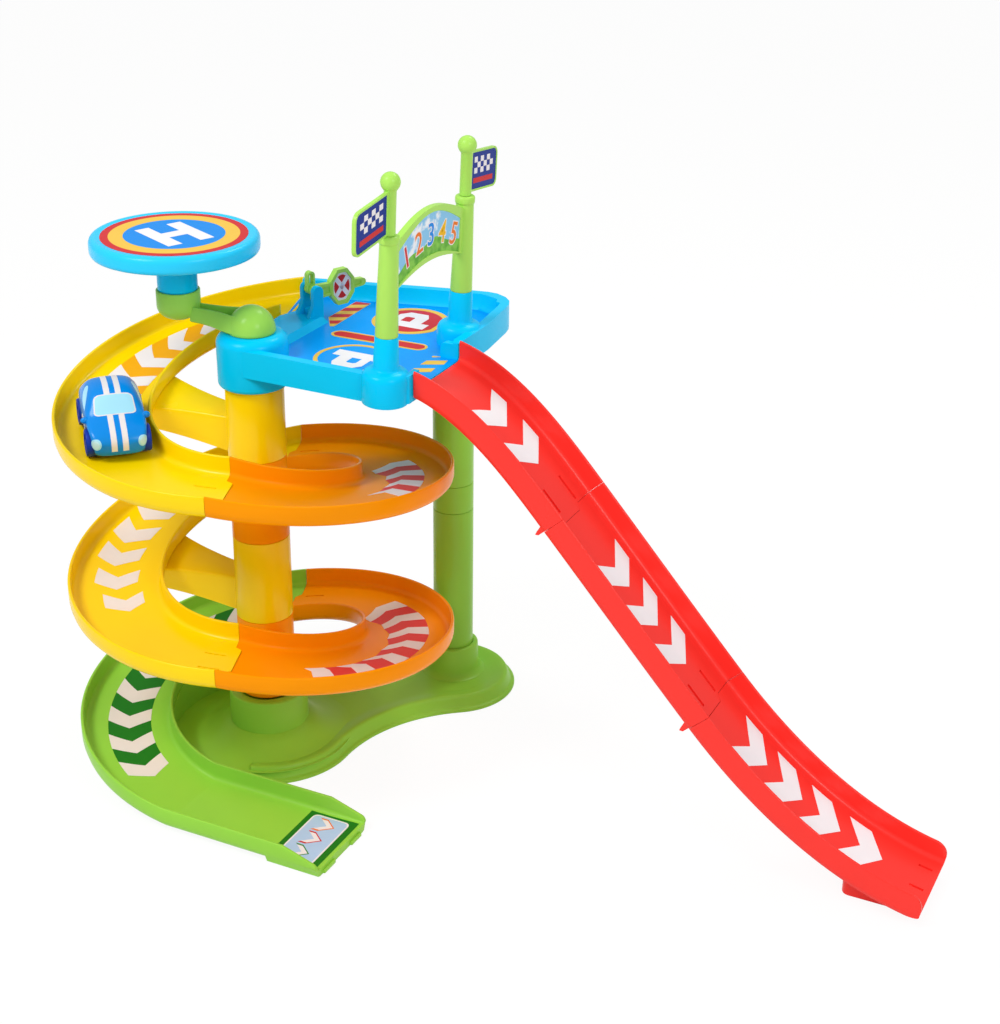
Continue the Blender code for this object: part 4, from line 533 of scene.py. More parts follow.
def track(name, finish, rim, start, end, reach_start, foot, top, spoke_angle, spoke_turn, spoke_top, spoke_foot):
    """Half a turn of track: channel with slots, its spoke, and its length of column."""
    mesh = solid(shape(spiral_channel(rim, start, end, reach_start, REACH)), *floor_slots(rim, end))
    piece = dressed(mesh, name + "_channel", finish, sharp=50)
    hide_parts(name + "_track")
    finished(spoke_solid(rim, spoke_angle, spoke_turn, spoke_top, spoke_foot), name + "_spoke", finish)
    finished(column_ring(foot, top), name + "_column", finish)


COLUMN_TOP = 307.5 * MM
JOINT_1 = 250.6 * MM
JOINT_2 = 184.4 * MM
YELLOW_SPOKE, YELLOW_TOP, YELLOW_FOOT = math.radians(185), JOINT_1 + 30.4 * MM, JOINT_1 + 0.6 * MM
ORANGE_SPOKE, ORANGE_TOP, ORANGE_FOOT = math.radians(-40), JOINT_2 + 56 * MM, JOINT_2 + 31 * MM
yellow_turn = YELLOW_SPOKE - FRONT_SEAM
orange_turn = ORANGE_SPOKE - FRONT_SEAM
track("upper_yellow", yellow_abs, upper_yellow_rim, -HALF - DECK_TURN, 0, -REACH, JOINT_1, COLUMN_TOP,
      YELLOW_SPOKE, yellow_turn - FULL, YELLOW_TOP, YELLOW_FOOT)
track("upper_orange", orange_abs, orange_rim, 0, HALF, REACH, JOINT_2, JOINT_1,
      ORANGE_SPOKE, orange_turn, ORANGE_TOP, ORANGE_FOOT)
track("lower_yellow", yellow_abs, lower_yellow_rim, HALF, FULL, REACH, JOINT_1 - TURN_DROP, JOINT_2,
      YELLOW_SPOKE, yellow_turn, YELLOW_TOP - TURN_DROP, YELLOW_FOOT - TURN_DROP)
track("lower_orange", orange_abs, orange_rim, FULL, 3 * HALF, REACH, JOINT_2 - TURN_DROP, JOINT_1 - TURN_DROP,
      ORANGE_SPOKE, orange_turn + FULL, ORANGE_TOP - TURN_DROP, ORANGE_FOOT - TURN_DROP)


# Red ramp

RAMP_KNOTS = ((139.5, 343.8, -14), (256, 255, -48), (371, 127, -47.5), (535, 26.2, -9))
RAMP_NEAR_Y = -10.4 * MM
RAMP_WIDTH = 73.4 * MM
RAMP_DEPTH = 14.5 * MM
RAMP_ROWS = channel_rows(RAMP_WIDTH, RAMP_DEPTH, inmm([(0, 15), (0, 18.4), (0.7, 19), (2.4, 18.2), (6.2, 17)]))


def ramp_course(number):
    """A cubic in (x, z) between two knots, with its slope, and its rough length."""
    knots = []
    for x, z, slope in RAMP_KNOTS[number:number + 2]:
        knots.append((Vector((x * MM, z * MM)), math.radians(slope)))
    (first, first_slope), (last, last_slope) = knots
    handle = (last - first).length / 3
    near = first + handle * Vector((math.cos(first_slope), math.sin(first_slope)))
    far = last - handle * Vector((math.cos(last_slope), math.sin(last_slope)))

    def at(t):
        u = 1 - t
        point = u ** 3 * first + 3 * u * u * t * near + 3 * u * t * t * far + t ** 3 * last
        heading = u * u * (near - first) + 2 * u * t * (far - near) + t * t * (last - far)
        return point.x, point.y, math.atan2(heading.y, heading.x)
    return at, 3 * handle


def ramp_point(number, at, t, across, down):
    x, z, slope = at(t)
    skew = -math.tan(slope) * (max(0, 1 - 3 * t) if number == 0 else 0)
    return Vector((x + down * (math.sin(slope) + skew * math.cos(slope)), RAMP_NEAR_Y + across,
                   z + down * (-math.cos(slope) + skew * math.sin(slope))))


def ramp_slots(number, at, start, end, places):
    """Blind slots in the floor over the moulded hooks."""
    tools = []
    for across in places:
        stations = []
        for step in range(7):
            t = start + (end - start) * step / 6
            stations.append([ramp_point(number, at, t, across * MM + a, RAMP_DEPTH + d) for a, d in
                             inmm([(-1.2, -3), (1.2, -3), (1.2, 1.8), (-1.2, 1.8)])])
        tools.append(cut(loft(stations)))
    return tools


END_CROWDING = 0.9


def ramp_piece(number, name, slots):
    """One length of the ramp; the last one has a rounded toe and closer stations towards it."""
    at, length = ramp_course(number)
    round_end = 10 * MM

    def place(share, across, down, tongue):
        first = 0 if number == 0 else (REACH * tongue + GAP) / length
        last = 1 if number == 2 else 1 + REACH * tongue / length
        if number == 2:
            share += END_CROWDING * share * (1 - share)
        t = first + (last - first) * share
        left = (1 - t) * length
        if number == 2 and left < round_end:
            drop = round_end - math.sqrt(round_end ** 2 - (round_end - left) ** 2)
            down += drop * max(0, 1 - down / (RAMP_DEPTH - FLOOR_FILLET))
            down -= 0.3 * drop * max(0, down / MM - 15) / 4
        return ramp_point(number, at, t, across, down)
    start = shape(channel(RAMP_ROWS, RAMP_WIDTH, 48, place, RAMP_DEPTH))
    mesh = solid(start, *ramp_slots(number, at, *slots))
    piece = dressed(mesh, name + "_channel", ramp_red_abs, sharp=50)
    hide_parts(name)
    if number < 2:
        tab = []
        for across in (0.2 * MM, 2.8 * MM):
            tab.append([ramp_point(number, at, t, across, down * MM) for t, down in
                        ((1 - 0.034, 17.5), (0.999, 17.5), (0.999, 24.5), (0.987, 26.5), (0.98, 24))])
        finished(loft(tab), name + "_hook_tab", ramp_red_abs, round_edge=0.4 * MM, parts=2)
    return at, length


courses = [ramp_piece(0, "ramp_top", (0.843, 0.98, (25, 52))),
           ramp_piece(1, "ramp_middle", (0.875, 0.985, (26.5, 50))),
           ramp_piece(2, "ramp_bottom", (0.925, 0.975, (30, 56)))]


for number, name in ((0, "ramp_upper_strap"), (1, "ramp_lower_strap")):
    (above, upper_length), (below, lower_length) = courses[number:number + 2]
    strap = []
    for piece_number, at, t in ((number, above, 1 - 5 * MM / upper_length), (number, above, 1),
                                (number + 1, below, 4 * MM / lower_length),
                                (number + 1, below, (REACH + 5 * MM) / lower_length)):
        strap.append([ramp_point(piece_number, at, t, across, down) for across, down in
                      inmm([(5.8, 16.9), (67.6, 16.9), (67.6, 17.9), (5.8, 17.9)])])
    finished(loft(strap), name, ramp_red_abs)


def ramp_lip():
    """Lip under the head of the ramp that hooks on the deck."""
    outline = inmm([(131.8, 320.7), (131.8, 318.2), (142.6, 318.2), (142.6, 327), (139.5, 327.6), (138.8, 320.7)])
    return loft([[(x, y * MM, z) for x, z in outline] for y in (11.3, 41.3)])


def ramp_foot(at):
    """Block under the end of the ramp, its top following the floor."""
    def underside(x):
        t = 0.5
        for _ in range(30):
            t += (x - at(t)[0]) / (at(1)[0] - at(0)[0])
        return at(t)[1] - (RAMP_DEPTH + 1 * MM) / math.cos(at(t)[2])
    corner = 6 * MM
    half = 19.5 * MM
    start, end, middle = 472 * MM, 520 * MM, 26.3 * MM
    plan = arc(end - corner, middle + half - corner, corner, 0, QUARTER, 6)
    plan += arc(start + corner, middle + half - corner, corner, QUARTER, HALF, 6)
    plan += arc(start + corner, middle - half + corner, corner, HALF, 3 * QUARTER, 6)
    plan += arc(end - corner, middle - half + corner, corner, -QUARTER, 0, 6)
    return loft([[(x, y, 0) for x, y in plan], [(x, y, underside(x)) for x, y in plan]])


finished(ramp_lip(), "ramp_lip", ramp_red_abs, round_edge=0.5 * MM, parts=2)
finished(ramp_foot(courses[2][0]), "ramp_foot", ramp_red_abs, round_edge=0.6 * MM, parts=2)


# Rear pillar

PILLAR = (85.5 * MM, 155.5 * MM, 0)
PILLAR_R = 16.6


def tube(radius, wall, low, high, edge=0.5):
    return rounded([(radius, low), (radius, high), (radius - wall, high), (radius - wall, low)], edge)


for name, low, high in (("pillar_lower", 14, 160.4), ("pillar_coupler", 160.7, 184), ("pillar_upper", 184.3, 325.5)):
    piece = finished(turned(inmm(tube(PILLAR_R, 2.5, low, high)), 96, PILLAR), name + "_tube", pillar_green_abs)
    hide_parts(name)


# Base plate and exit chute

LOBE = Vector((88 * MM, 148 * MM))
MAIN_RADIUS, LOBE_RADIUS, WAIST_RADIUS = 69 * MM, 53.4 * MM, 120 * MM


def plate_outline(inset, sides=240):
    """Two round lobes joined by two hollow waists."""
    main, lobe, waist = MAIN_RADIUS - inset, LOBE_RADIUS - inset, WAIST_RADIUS + inset
    reach = LOBE.length
    heading = math.atan2(LOBE.y, LOBE.x)
    along = (reach ** 2 + (main + waist) ** 2 - (lobe + waist) ** 2) / (2 * reach)
    aside = math.sqrt((main + waist) ** 2 - along ** 2)
    main_half = math.atan2(aside, along)
    lobe_half = math.atan2(aside, along - reach)
    ahead = Vector((math.cos(heading), math.sin(heading)))
    side = Vector((ahead.y, -ahead.x))
    right = along * ahead + aside * side
    left = along * ahead - aside * side
    return (arc(0, 0, main, heading + main_half, heading + FULL - main_half, sides // 2)[:-1]
            + arc(right.x, right.y, waist, heading + HALF - main_half, heading + HALF - lobe_half, sides // 8)[:-1]
            + arc(LOBE.x, LOBE.y, lobe, heading - lobe_half, heading + lobe_half, sides // 4)[:-1]
            + arc(left.x, left.y, waist, heading + HALF + lobe_half, heading + HALF + main_half, sides // 8)[:-1])


PLATE_PROFILE = ((0.4, 0), (0, 0.5), (0, 1.7), (0.5, 2.5), (1.6, 2.9), (2.9, 3.3), (3.6, 4.4), (5.0, 8.2), (5.8, 10.4),
                 (6.6, 11.7), (7.6, 12.4), (8.8, 12.5), (11, 12.2), (14.5, 11.3), (18, 10.3), (21, 9.7), (24, 9.5))


def sector(inner, outer, start, end, steps):
    """Part of a ring between two radii in metres and two angles in degrees."""
    start, end = math.radians(start), math.radians(end)
    return arc(0, 0, outer, start, end, steps) + arc(0, 0, inner, end, start, steps)


def plate():
    """The dished plate, cut away where the chute's own floor takes over."""
    start = shape(loft([[(x, y, z * MM) for x, y in plate_outline(inset * MM)] for inset, z in PLATE_PROFILE]))
    return solid(start, cut(prism(sector(45 * MM, 70 * MM, 104, 288, 96), -2 * MM, 15 * MM)))


base_plate = dressed(plate(), "base_plate", base_green_abs, sharp=42)
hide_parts("base")
web = sector(43 * MM, 77.3 * MM, 103, 288.6, 96)
finished(prism(web, 6.9 * MM, 9.45 * MM), "base_web", base_green_abs)
finished(prism(sector(61 * MM, 77.1 * MM, 102.6, 110.4, 6), 0, 9.5 * MM), "base_web_end", base_green_abs,
         round_edge=0.8 * MM)
base_column_top = JOINT_2 - TURN_DROP
swell = [(31, 9), (66, 9), (66, 9.5), (61, 9.8), (56, 10.8), (50, 13), (44, 16.4), (39, 19.6), (35, 21.8), (31, 23)]
finished(turned(inmm(swell), 128), "base_swell", base_green_abs, sharp=50)
finished(turned(rounded([(0, 0), (31.5 * MM, 0), (30.7 * MM, base_column_top - GAP), (22.5 * MM, base_column_top - GAP),
                         (22.5 * MM, base_column_top - 4 * MM), (0, base_column_top - 4 * MM)], 1.6 * MM), 96),
         "base_boss", base_green_abs)
collar = [(0, 0), (26.8, 0), (26.8, 9.6), (24.6, 10.3), (22.6, 12.4), (21.5, 15.4), (20.9, 34.2), (20.5, 35.4),
          (19.6, 36), (17, 36), (17, 30), (0, 30)]
finished(turned(inmm(collar), 96, PILLAR), "base_pillar_socket", base_green_abs, sharp=50)


MOUTH_X, MOUTH_SINK = 88 * MM, 3.8 * MM
FALL_X, FALL_LENGTH, FALL = 103 * MM, 28.5 * MM, 9.5 * MM
LIP_X, LIP = 128.5 * MM, 3 * MM


def chute():
    """The last half turn, then a straight run whose walls taper to the mouth."""
    chute_end = CHUTE_ANGLE - FRONT_SEAM
    marks = [i / 84 for i in range(85)]
    straight = [0.2 * MM] + [x * MM for x in (15, 30, 44, 60, 75, 87.9, 88.1, 95, 103, 108, 113, 118, 122, 125, 127.5,
                                              129.3, 130.4, 131.1, 131.5)]

    def place(share, across, down, tongue):
        spot = share * (len(marks) + len(straight) - 1)
        index = min(int(spot + 0.5), len(marks) + len(straight) - 1)
        if index < len(marks):
            radius = TRACK_RADIUS + across
            first = 3 * HALF + (REACH * tongue + GAP) / radius
            turn = first + (chute_end - first) * marks[index]
            return polar(radius, FRONT_SEAM + turn, chute_rim(turn) - down)
        x = straight[index - len(marks)]
        fall = max(0, (x - FALL_X) / FALL_LENGTH)
        round_off = max(0, (x - LIP_X) / LIP)
        height = max(0, INSIDE_DEPTH - down) / INSIDE_DEPTH
        below = MOUTH_SINK if down > INSIDE_DEPTH + 0.1 * MM and x > MOUTH_X else 0
        z = CHUTE_RIM - down - (FALL * fall + LIP * round_off ** 3) * height - below
        return Vector((x, -TRACK_RADIUS - across, max(z, 0)))
    return channel(TRACK_ROWS, TRACK_WIDTH, len(marks) + len(straight) - 1, place)


finished(chute(), "base_chute", base_green_abs, sharp=50)


def chute_skirt():
    """Thin wall from the ground up to the inner side of the last half turn."""
    stations = []
    start = FRONT_SEAM + 3 * HALF + 2 * GAP / TRACK_RADIUS
    for step in range(85):
        angle = start + (CHUTE_ANGLE - start) * step / 84
        head = chute_rim(angle - FRONT_SEAM) - SIDE_HEIGHT + 3 * MM
        near, far = TRACK_RADIUS + GAP, TRACK_RADIUS + 2.2 * MM
        stations.append([polar(near, angle, 0), polar(far, angle, 0), polar(far, angle, head),
                         polar(near, angle, head)])
    return loft(stations)


finished(chute_skirt(), "base_chute_skirt", base_green_abs)


# Blue deck

GATE_X = 121 * MM
GATE_LEAN = math.radians(2.5)
GATE_NEAR, GATE_FAR = -16.5 * MM, 97 * MM
GATE_SIDES = (("near", GATE_NEAR), ("far", GATE_FAR))
SHOULDER = 345 * MM
FLOOR_Z = 329 * MM
RIM_Z = 341.6 * MM
BORDER_Z = 334.5 * MM
HINGE = Vector((-1 * MM, 86 * MM, 354 * MM))
ARM_ANGLE = math.radians(66)


def seam_point(across, past=0.0):
    radius = TRACK_RADIUS + across
    return polar(radius, FRONT_SEAM + HALF - DECK_TURN + past / radius, 0)


def deck_outline(inset, reach):
    """Plan of the tray drawn in by a wall; at the spiral it reaches on instead."""
    wall = min(inset, 4.5 * MM)
    inner, outer = seam_point(wall), seam_point(TRACK_WIDTH - wall)
    course = Vector((outer.y - inner.y, inner.x - outer.x, 0)).normalized() * -reach
    i, w = inset / MM, wall / MM
    corners = [(-16 + i, 30), (-16 + i, 0), (0, -25.5 + i), (127.5, -25.5 + i), (138.5 - w, -14.5), (138.5 - w, 61),
               (138.5 - i, 67), (138.5 - i, 110)]
    corners += [(134 - i, 150), (132.2 - i, 158.5), (129 - i, 166 - i), (122.5 - i * 0.5, 172.8 - i),
                (113 - i, 177.5 - i), (105 - i * 0.3, 178 - i), (74.6, 171.8 - i), (-9, 150.3 - i)]
    return inmm(corners) + [tuple((outer + course).xy), tuple((inner + course).xy)]


def upright(x, y, z):
    """A place on the gate as it leans, given as if it stood upright."""
    rise, swing = z - SHOULDER, x - GATE_X
    return Vector((GATE_X + swing * math.cos(GATE_LEAN) + rise * math.sin(GATE_LEAN), y,
                   SHOULDER + rise * math.cos(GATE_LEAN) - swing * math.sin(GATE_LEAN)))


def leaning(bm):
    for vert in bm.verts:
        vert.co = upright(*vert.co)
    return bm


def hinge_point(along, across, z):
    cosine, sine = math.cos(ARM_ANGLE), math.sin(ARM_ANGLE)
    return (HINGE.x + along * cosine + across * sine, HINGE.y + along * sine - across * cosine, z)


def hinge_plate(outline, low, high):
    return loft([[hinge_point(along, across, z) for along, z in outline] for across in (low, high)])


def tray():
    """The moulded tray: hollow below, a raised border along the spiral and a mouth for the ramp."""
    above, below = RIM_Z + 2 * MM, 319 * MM
    border = [tuple(seam_point(1 * MM, -1 * MM).xy)] + inmm([(-14, 96), (12.5, 89), (12, 0), (-15, 0), (-15, 30)])
    inside = [(x - 4 * MM * (x > 0), y - 4 * MM * (y > 30 * MM)) for x, y in border]
    left = [tuple(seam_point(-1 * MM, 2 * MM).xy), tuple(seam_point(5.5 * MM, 2 * MM).xy)]
    left += inmm([(-2, 30), (-2, 0), (-17, 0), (-17, 30)])
    mouth = inmm([(131, 0.5), (140.5, 0.5), (140.5, 60.5), (131, 60.5)])
    bowl = [[(x, y, z) for x, y in deck_outline(inset * MM, 2 * MM)] for inset, z in
            ((13, FLOOR_Z), (11.4, FLOOR_Z + 0.4 * MM), (10.0, 331.2 * MM), (8.8, 334 * MM), (8.0, 337.6 * MM),
             (7.4, RIM_Z), (7.0, above))]
    step = [[(x, y, FLOOR_Z - 1 * MM) for x, y in border], [(x, y, BORDER_Z) for x, y in inside]]
    return solid(shape(prism(deck_outline(0, 0), 321 * MM, RIM_Z)), cut(loft(bowl)),
                 cut(prism(deck_outline(WALL, -WALL), below, FLOOR_Z - 2.5 * MM)),
                 cut(prism(left, BORDER_Z, above)), fuse(loft(step)), cut(prism(mouth, FLOOR_Z, above)))


deck_tray = dressed(tray(), "deck_tray", deck_blue_abs, round_edge=3.0 * MM, sharp=32, parts=6)
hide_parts("deck")
bulb = [(0, 320), (15.2, 320), (16.6, 320.6), (17, 322), (17, 338.6), (16.6, 340.9), (15.6, 342.8), (14, 344.1),
        (11.8, 344.9), (9.9, 345.4), (9.3, 346.6), (9.2, 348.5), (8.4, 368.9), (8.0, 369.5), (5, 369.5), (5, 379),
        (0, 379)]
for side, y in GATE_SIDES:
    finished(leaning(turned(inmm(bulb), 72, (GATE_X, y, 0))), "deck_post_socket_" + side, deck_blue_abs, sharp=50)
cap = [(19, 299.5), (19, 306), (20, 306.9)] + arc(23.2, 310.3, 3.3, -QUARTER, 0, 6)
cap += arc(18.7, 339.7, 7.8, 0, QUARTER, 10)
cap += [(8.8, 347.5), (8.8, 344.5), (20, 344.5), (22, 342), (22, 312), (16, 308), (16, 299.5)]
finished(turned(inmm(cap), 96), "deck_column_cap", deck_blue_abs, sharp=50)
finished(turned(inmm(tube(19.7, 2.8, 308, 328, 0.8)), 96, PILLAR), "deck_pillar_sleeve", deck_blue_abs, sharp=50)
ledge = inmm([(-3.7, 333.5), (3.7, 333.5), (3.7, 338.5), (-3.7, 338.5)])
finished(hinge_plate(ledge, -7 * MM, 7 * MM), "deck_bracket_ledge", deck_blue_abs,
         round_edge=0.5 * MM)
ear = arc(0, 354 * MM, 4.6 * MM, 0, HALF, 16) + inmm([(-4.6, 344), (-9.6, 333.5), (4.6, 333.5)])
for side, across in (("near", -7.2 * MM), ("far", 7.2 * MM)):
    finished(hinge_plate(ear, across - 2.2 * MM, across + 2.2 * MM), "deck_bracket_ear_" + side, deck_blue_abs,
             round_edge=0.5 * MM)
cheek = inmm([(123.5, 328), (138.4, 328)]) + arc(133.4 * MM, 336 * MM, 5 * MM, 0, QUARTER, 8)
cheek += arc(128.5 * MM, 336 * MM, 5 * MM, QUARTER, HALF, 8)
finished(loft([[(x, y, z) for x, z in cheek] for y in (60.2 * MM, 66 * MM)]), "deck_cheek", deck_blue_abs,
         round_edge=0.7 * MM)


# Gate and flags

FLAG_LENGTH = 48.5 * MM
FLAG_DROOP = 5.5
FLAG_ROOT = 6.2
FLAG_BORDER = 1.5 * MM
post = [(5.4, 369.8), (8.0, 369.8), (8.2, 370.6), (6.6, 436.3), (7.1, 436.6), (7.35, 437.6), (7.35, 440.4),
        (7.0, 441.5), (6.2, 442), (4.1, 442), (4.1, 433), (0, 433), (0, 380), (5.4, 380)]
for side, y in GATE_SIDES:
    piece = finished(leaning(turned(inmm(post), 64, (GATE_X, y, 0))), "gate_post_" + side, light_green_abs, sharp=50)
    if side == "near":
        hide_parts("gate_arch")


def banner_outline(inset, side):
    """Arched sheet between the posts as (y, z)."""
    points = []
    steps = 32
    for foot, rise, flip in ((398.5 * MM + inset, 10 * MM, 1), (432 * MM - inset, 15.5 * MM, -1)):
        row = []
        for step in range(steps + 1):
            share = step / steps
            row.append((GATE_NEAR + side + (GATE_FAR - GATE_NEAR - 2 * side) * share,
                        foot + rise * math.sin(HALF * share)))
        points += row[::flip]
    return points


def upright_plate(outline, low, high):
    return leaning(loft([[(x, y, z) for y, z in outline] for x in (low, high)]))


def recessed(name, outline, panel, half, recess, edge):
    """A light green sheet on the gate with a sunk panel on both faces."""
    mesh = solid(shape(upright_plate(outline, GATE_X - half, GATE_X + half)),
                 cut(upright_plate(panel, GATE_X + half - recess, GATE_X + half + 2 * MM)),
                 cut(upright_plate(panel, GATE_X - half - 2 * MM, GATE_X - half + recess)))
    return dressed(mesh, name, light_green_abs, round_edge=edge, sharp=30)


BANNER_SIDE = 10.6 * MM
BANNER_BORDER = 4 * MM
recessed("gate_banner", banner_outline(0, 1 * MM), banner_outline(BANNER_BORDER, BANNER_SIDE), 2.5 * MM, 0.8 * MM,
         0.5 * MM)


def flag_outline(side, inset, base=0.0):
    corner = 6 * MM - inset
    low, high, end = 443.6 * MM + inset, 474 * MM - inset, FLAG_LENGTH - inset
    points = [(base, low)] + arc(end - corner, low + corner, corner, -QUARTER, 0, 8)
    points += arc(end - corner, high - corner, corner, 0, QUARTER, 8) + [(base, high)]
    return [(side * y, z - FLAG_DROOP * MM * y / FLAG_LENGTH) for y, z in points]


def flag(name, node, y, side):
    pole = [(0, 433.4), (3.4, 433.4), (3.4, 442.3), (4.3, 442.3), (4.4, 442.8), (4.4, 473.2)]
    for step in range(1, 16):
        angle = HALF * (0.22 + 0.78 * step / 16)
        pole.append((7 * math.sin(angle), 479 - 7 * math.cos(angle)))
    pole.append((0, 486))
    piece = finished(leaning(turned(inmm(pole), 48, (GATE_X, y, 0))), name + "_pole", light_green_abs, sharp=50)
    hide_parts(node)
    outline = [(y + a, z) for a, z in flag_outline(side, 0)]
    panel = [(y + a, z) for a, z in flag_outline(side, FLAG_BORDER, FLAG_ROOT * MM)]
    recessed(name + "_sheet", outline, panel, 1.4 * MM, 0.5 * MM, 0.4 * MM)


flag("flag_near", "flagpole_near", GATE_NEAR, -1)
flag("flag_far", "flagpole_far", GATE_FAR, 1)


# Barrier arm on its pin

HALF_ARM = 2.25 * MM
ROOT_Z = 351.4 * MM
SIGN = 27.5 * MM
SIGN_WIDE, SIGN_HIGH = 11, 14.2


def octagon(share):
    bite = math.tan(math.pi / 8)
    corners = [(1, -bite), (1, bite), (bite, 1), (-bite, 1), (-1, bite), (-1, -bite), (-bite, -1), (bite, -1)]
    return [(SIGN + a * SIGN_WIDE * MM * share, ROOT_Z + b * SIGN_HIGH * MM * share) for a, b in corners]


def barrier():
    """Arm with its sunk fields, the eight-sided sign, the lever loop and the barrel round the pin."""
    tip = 47 * MM
    arm = [(0, ROOT_Z - 5.8 * MM), (tip, ROOT_Z - 3 * MM)] + arc(tip, ROOT_Z, 3 * MM, -QUARTER, QUARTER, 12)[1:]
    arm += [(0, ROOT_Z + 5.8 * MM)]
    window = [(5.4 * MM, ROOT_Z - 2.9 * MM), (15.4 * MM, ROOT_Z - 2.6 * MM), (15.4 * MM, ROOT_Z + 2.6 * MM),
              (5.4 * MM, ROOT_Z + 2.9 * MM)]
    beyond = [(39.6 * MM, ROOT_Z - 1.9 * MM), (45.6 * MM, ROOT_Z - 1.5 * MM), (45.6 * MM, ROOT_Z + 1.5 * MM),
              (39.6 * MM, ROOT_Z + 1.9 * MM)]
    steps = [fuse(hinge_plate(octagon(1), -HALF_ARM - 0.5 * MM, HALF_ARM + 0.5 * MM))]
    for low, high in ((-HALF_ARM - 2 * MM, -HALF_ARM + 1 * MM), (HALF_ARM - 1 * MM, HALF_ARM + 2 * MM)):
        for outline in (window, beyond, octagon(0.80)):
            steps.append(cut(hinge_plate(outline, low, high)))
    loop = [(-4.5 * MM, 354 * MM), (2.1 * MM, 354 * MM)] + arc(-1.2 * MM, 365.7 * MM, 3.3 * MM, 0, HALF, 16)
    slot = [(-2.9 * MM, 358.8 * MM), (0.5 * MM, 358.8 * MM)] + arc(-1.2 * MM, 365.7 * MM, 1.7 * MM, 0, HALF, 12)
    barrel = circle(0, 354 * MM, 3.8 * MM, 48)
    steps += [fuse(hinge_plate(loop, -HALF_ARM, HALF_ARM)), cut(hinge_plate(slot, -4 * MM, 4 * MM)),
              fuse(hinge_plate(barrel, -4.6 * MM, 4.6 * MM))]
    return solid(shape(hinge_plate(arm, -HALF_ARM, HALF_ARM)), *steps)


arm_piece = dressed(barrier(), "barrier_arm_moulding", light_green_abs, "barrier", 0.35 * MM, 30, 2)
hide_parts("barrier_arm")


# Helipad: hub dome and arm, disc on its stem

PAD_ARM_ANGLE = math.radians(183)
PAD_TOP = 413.0
PAD_TURN = 65.0
PAD = Vector((61 * math.cos(PAD_ARM_ANGLE), 61 * math.sin(PAD_ARM_ANGLE), 0)) * MM


def pad_point(along, across, z):
    cosine, sine = math.cos(PAD_ARM_ANGLE), math.sin(PAD_ARM_ANGLE)
    return ((along * cosine - across * sine) * MM, (along * sine + across * cosine) * MM, z * MM)


dome = [(0, 336), (8.2, 336), (8.2, 347.9), (17.4, 347.9), (17.8, 348.4)]
dome += [(17.8 * math.cos(QUARTER * k / 16), 348.4 + 18.9 * math.sin(QUARTER * k / 16)) for k in range(1, 16)]
hub = finished(turned(inmm(dome + [(0, 367.3)]), 96), "helipad_hub", arm_green_abs, "helipad_swivel",
               sharp=50)
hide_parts("helipad_arm")


def arm_channel():
    """Open trough from the hub to the cup, flaring at the hub."""
    sections = []
    for along, top, foot, low in (
            (5, 12.5, 17.0, 348.5), (11, 11.6, 16.2, 348.5), (17, 9.6, 14.2, 348.7), (23, 7.9, 11.6, 348.9),
            (30, 6.9, 9.4, 349.2), (38, 6.4, 8.0, 349.5), (47.5, 6.2, 7.4, 349.7)):
        inner = top - 2.0
        sections.append([pad_point(along, a, z) for a, z in (
            (-foot, low + 1.2), (-foot + 1.2, low), (foot - 1.2, low), (foot, low + 1.2), (top, 360.6),
            (top - 0.6, 361), (inner + 0.5, 361), (inner, 360.5), (inner + 0.8, 353.4),
            (-inner - 0.8, 353.4), (-inner, 360.5), (-inner - 0.5, 361), (-top + 0.6, 361), (-top, 360.6))])
    return loft(sections)


finished(arm_channel(), "helipad_arm_channel", arm_green_abs, "helipad_swivel", sharp=50)
cup = [(16.3 * math.sin(QUARTER * k / 12), 359.3 - 10.8 * math.cos(QUARTER * k / 12)) for k in range(13)]
cup += [(16.3, 371), (15.9, 371.5), (15.3, 371.7), (14.3, 371.5), (14.1, 371), (14.1, 359.6), (0, 359.6)]
finished(turned(inmm(cup), 96, PAD), "helipad_cup", arm_green_abs, "helipad_swivel", sharp=50)
disc = [(0, 409.6), (14.8, 409.6), (14.8, 372.4), (13.8, 372), (13.8, 360.2), (0, 360.2)][::-1]
stem_piece = finished(turned(inmm(disc), 96, PAD), "helipad_stem", deck_blue_abs, "helipad", sharp=50,
                      slot="cyan_plastic")
plate_profile = [(57.2, 409.8), (57.2, 401), (58, 400.5), (59.6, 400.6), (61.0, 401.2), (61.8, 402.6),
                 (62, 404.2), (62, 408.8), (61.8, 410.2), (61.2, 411.6), (60.2, 412.7), (59.0, 413.3),
                 (57.8, 413.5), (56.6, 413.4), (55.6, 413.1), (54.9, PAD_TOP), (0, PAD_TOP)]
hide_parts("helipad_disc")
finished(turned(inmm([(0, 409.8)] + plate_profile), 160, PAD), "helipad_plate", pad_cyan_abs, "helipad",
         sharp=50)
for k in range(6):
    angle = FULL * k / 6
    ahead = Vector((math.cos(angle), math.sin(angle), 0))
    across = Vector((-ahead.y, ahead.x, 0)) * 0.8 * MM
    ring = [[PAD + ahead * r * MM + across * side + Vector((0, 0, z * MM)) for side, z in
             ((-1, 410), (1, 410), (1, low), (-1, low))] for r, low in ((14, 392), (57.5, 403.5))]
    finished(loft([[tuple(p) for p in row] for row in ring]), "helipad_rib_%d" % (k + 1), pad_cyan_abs, "helipad")


# Toy car on the upper track, drawn along its own x axis in millimetres

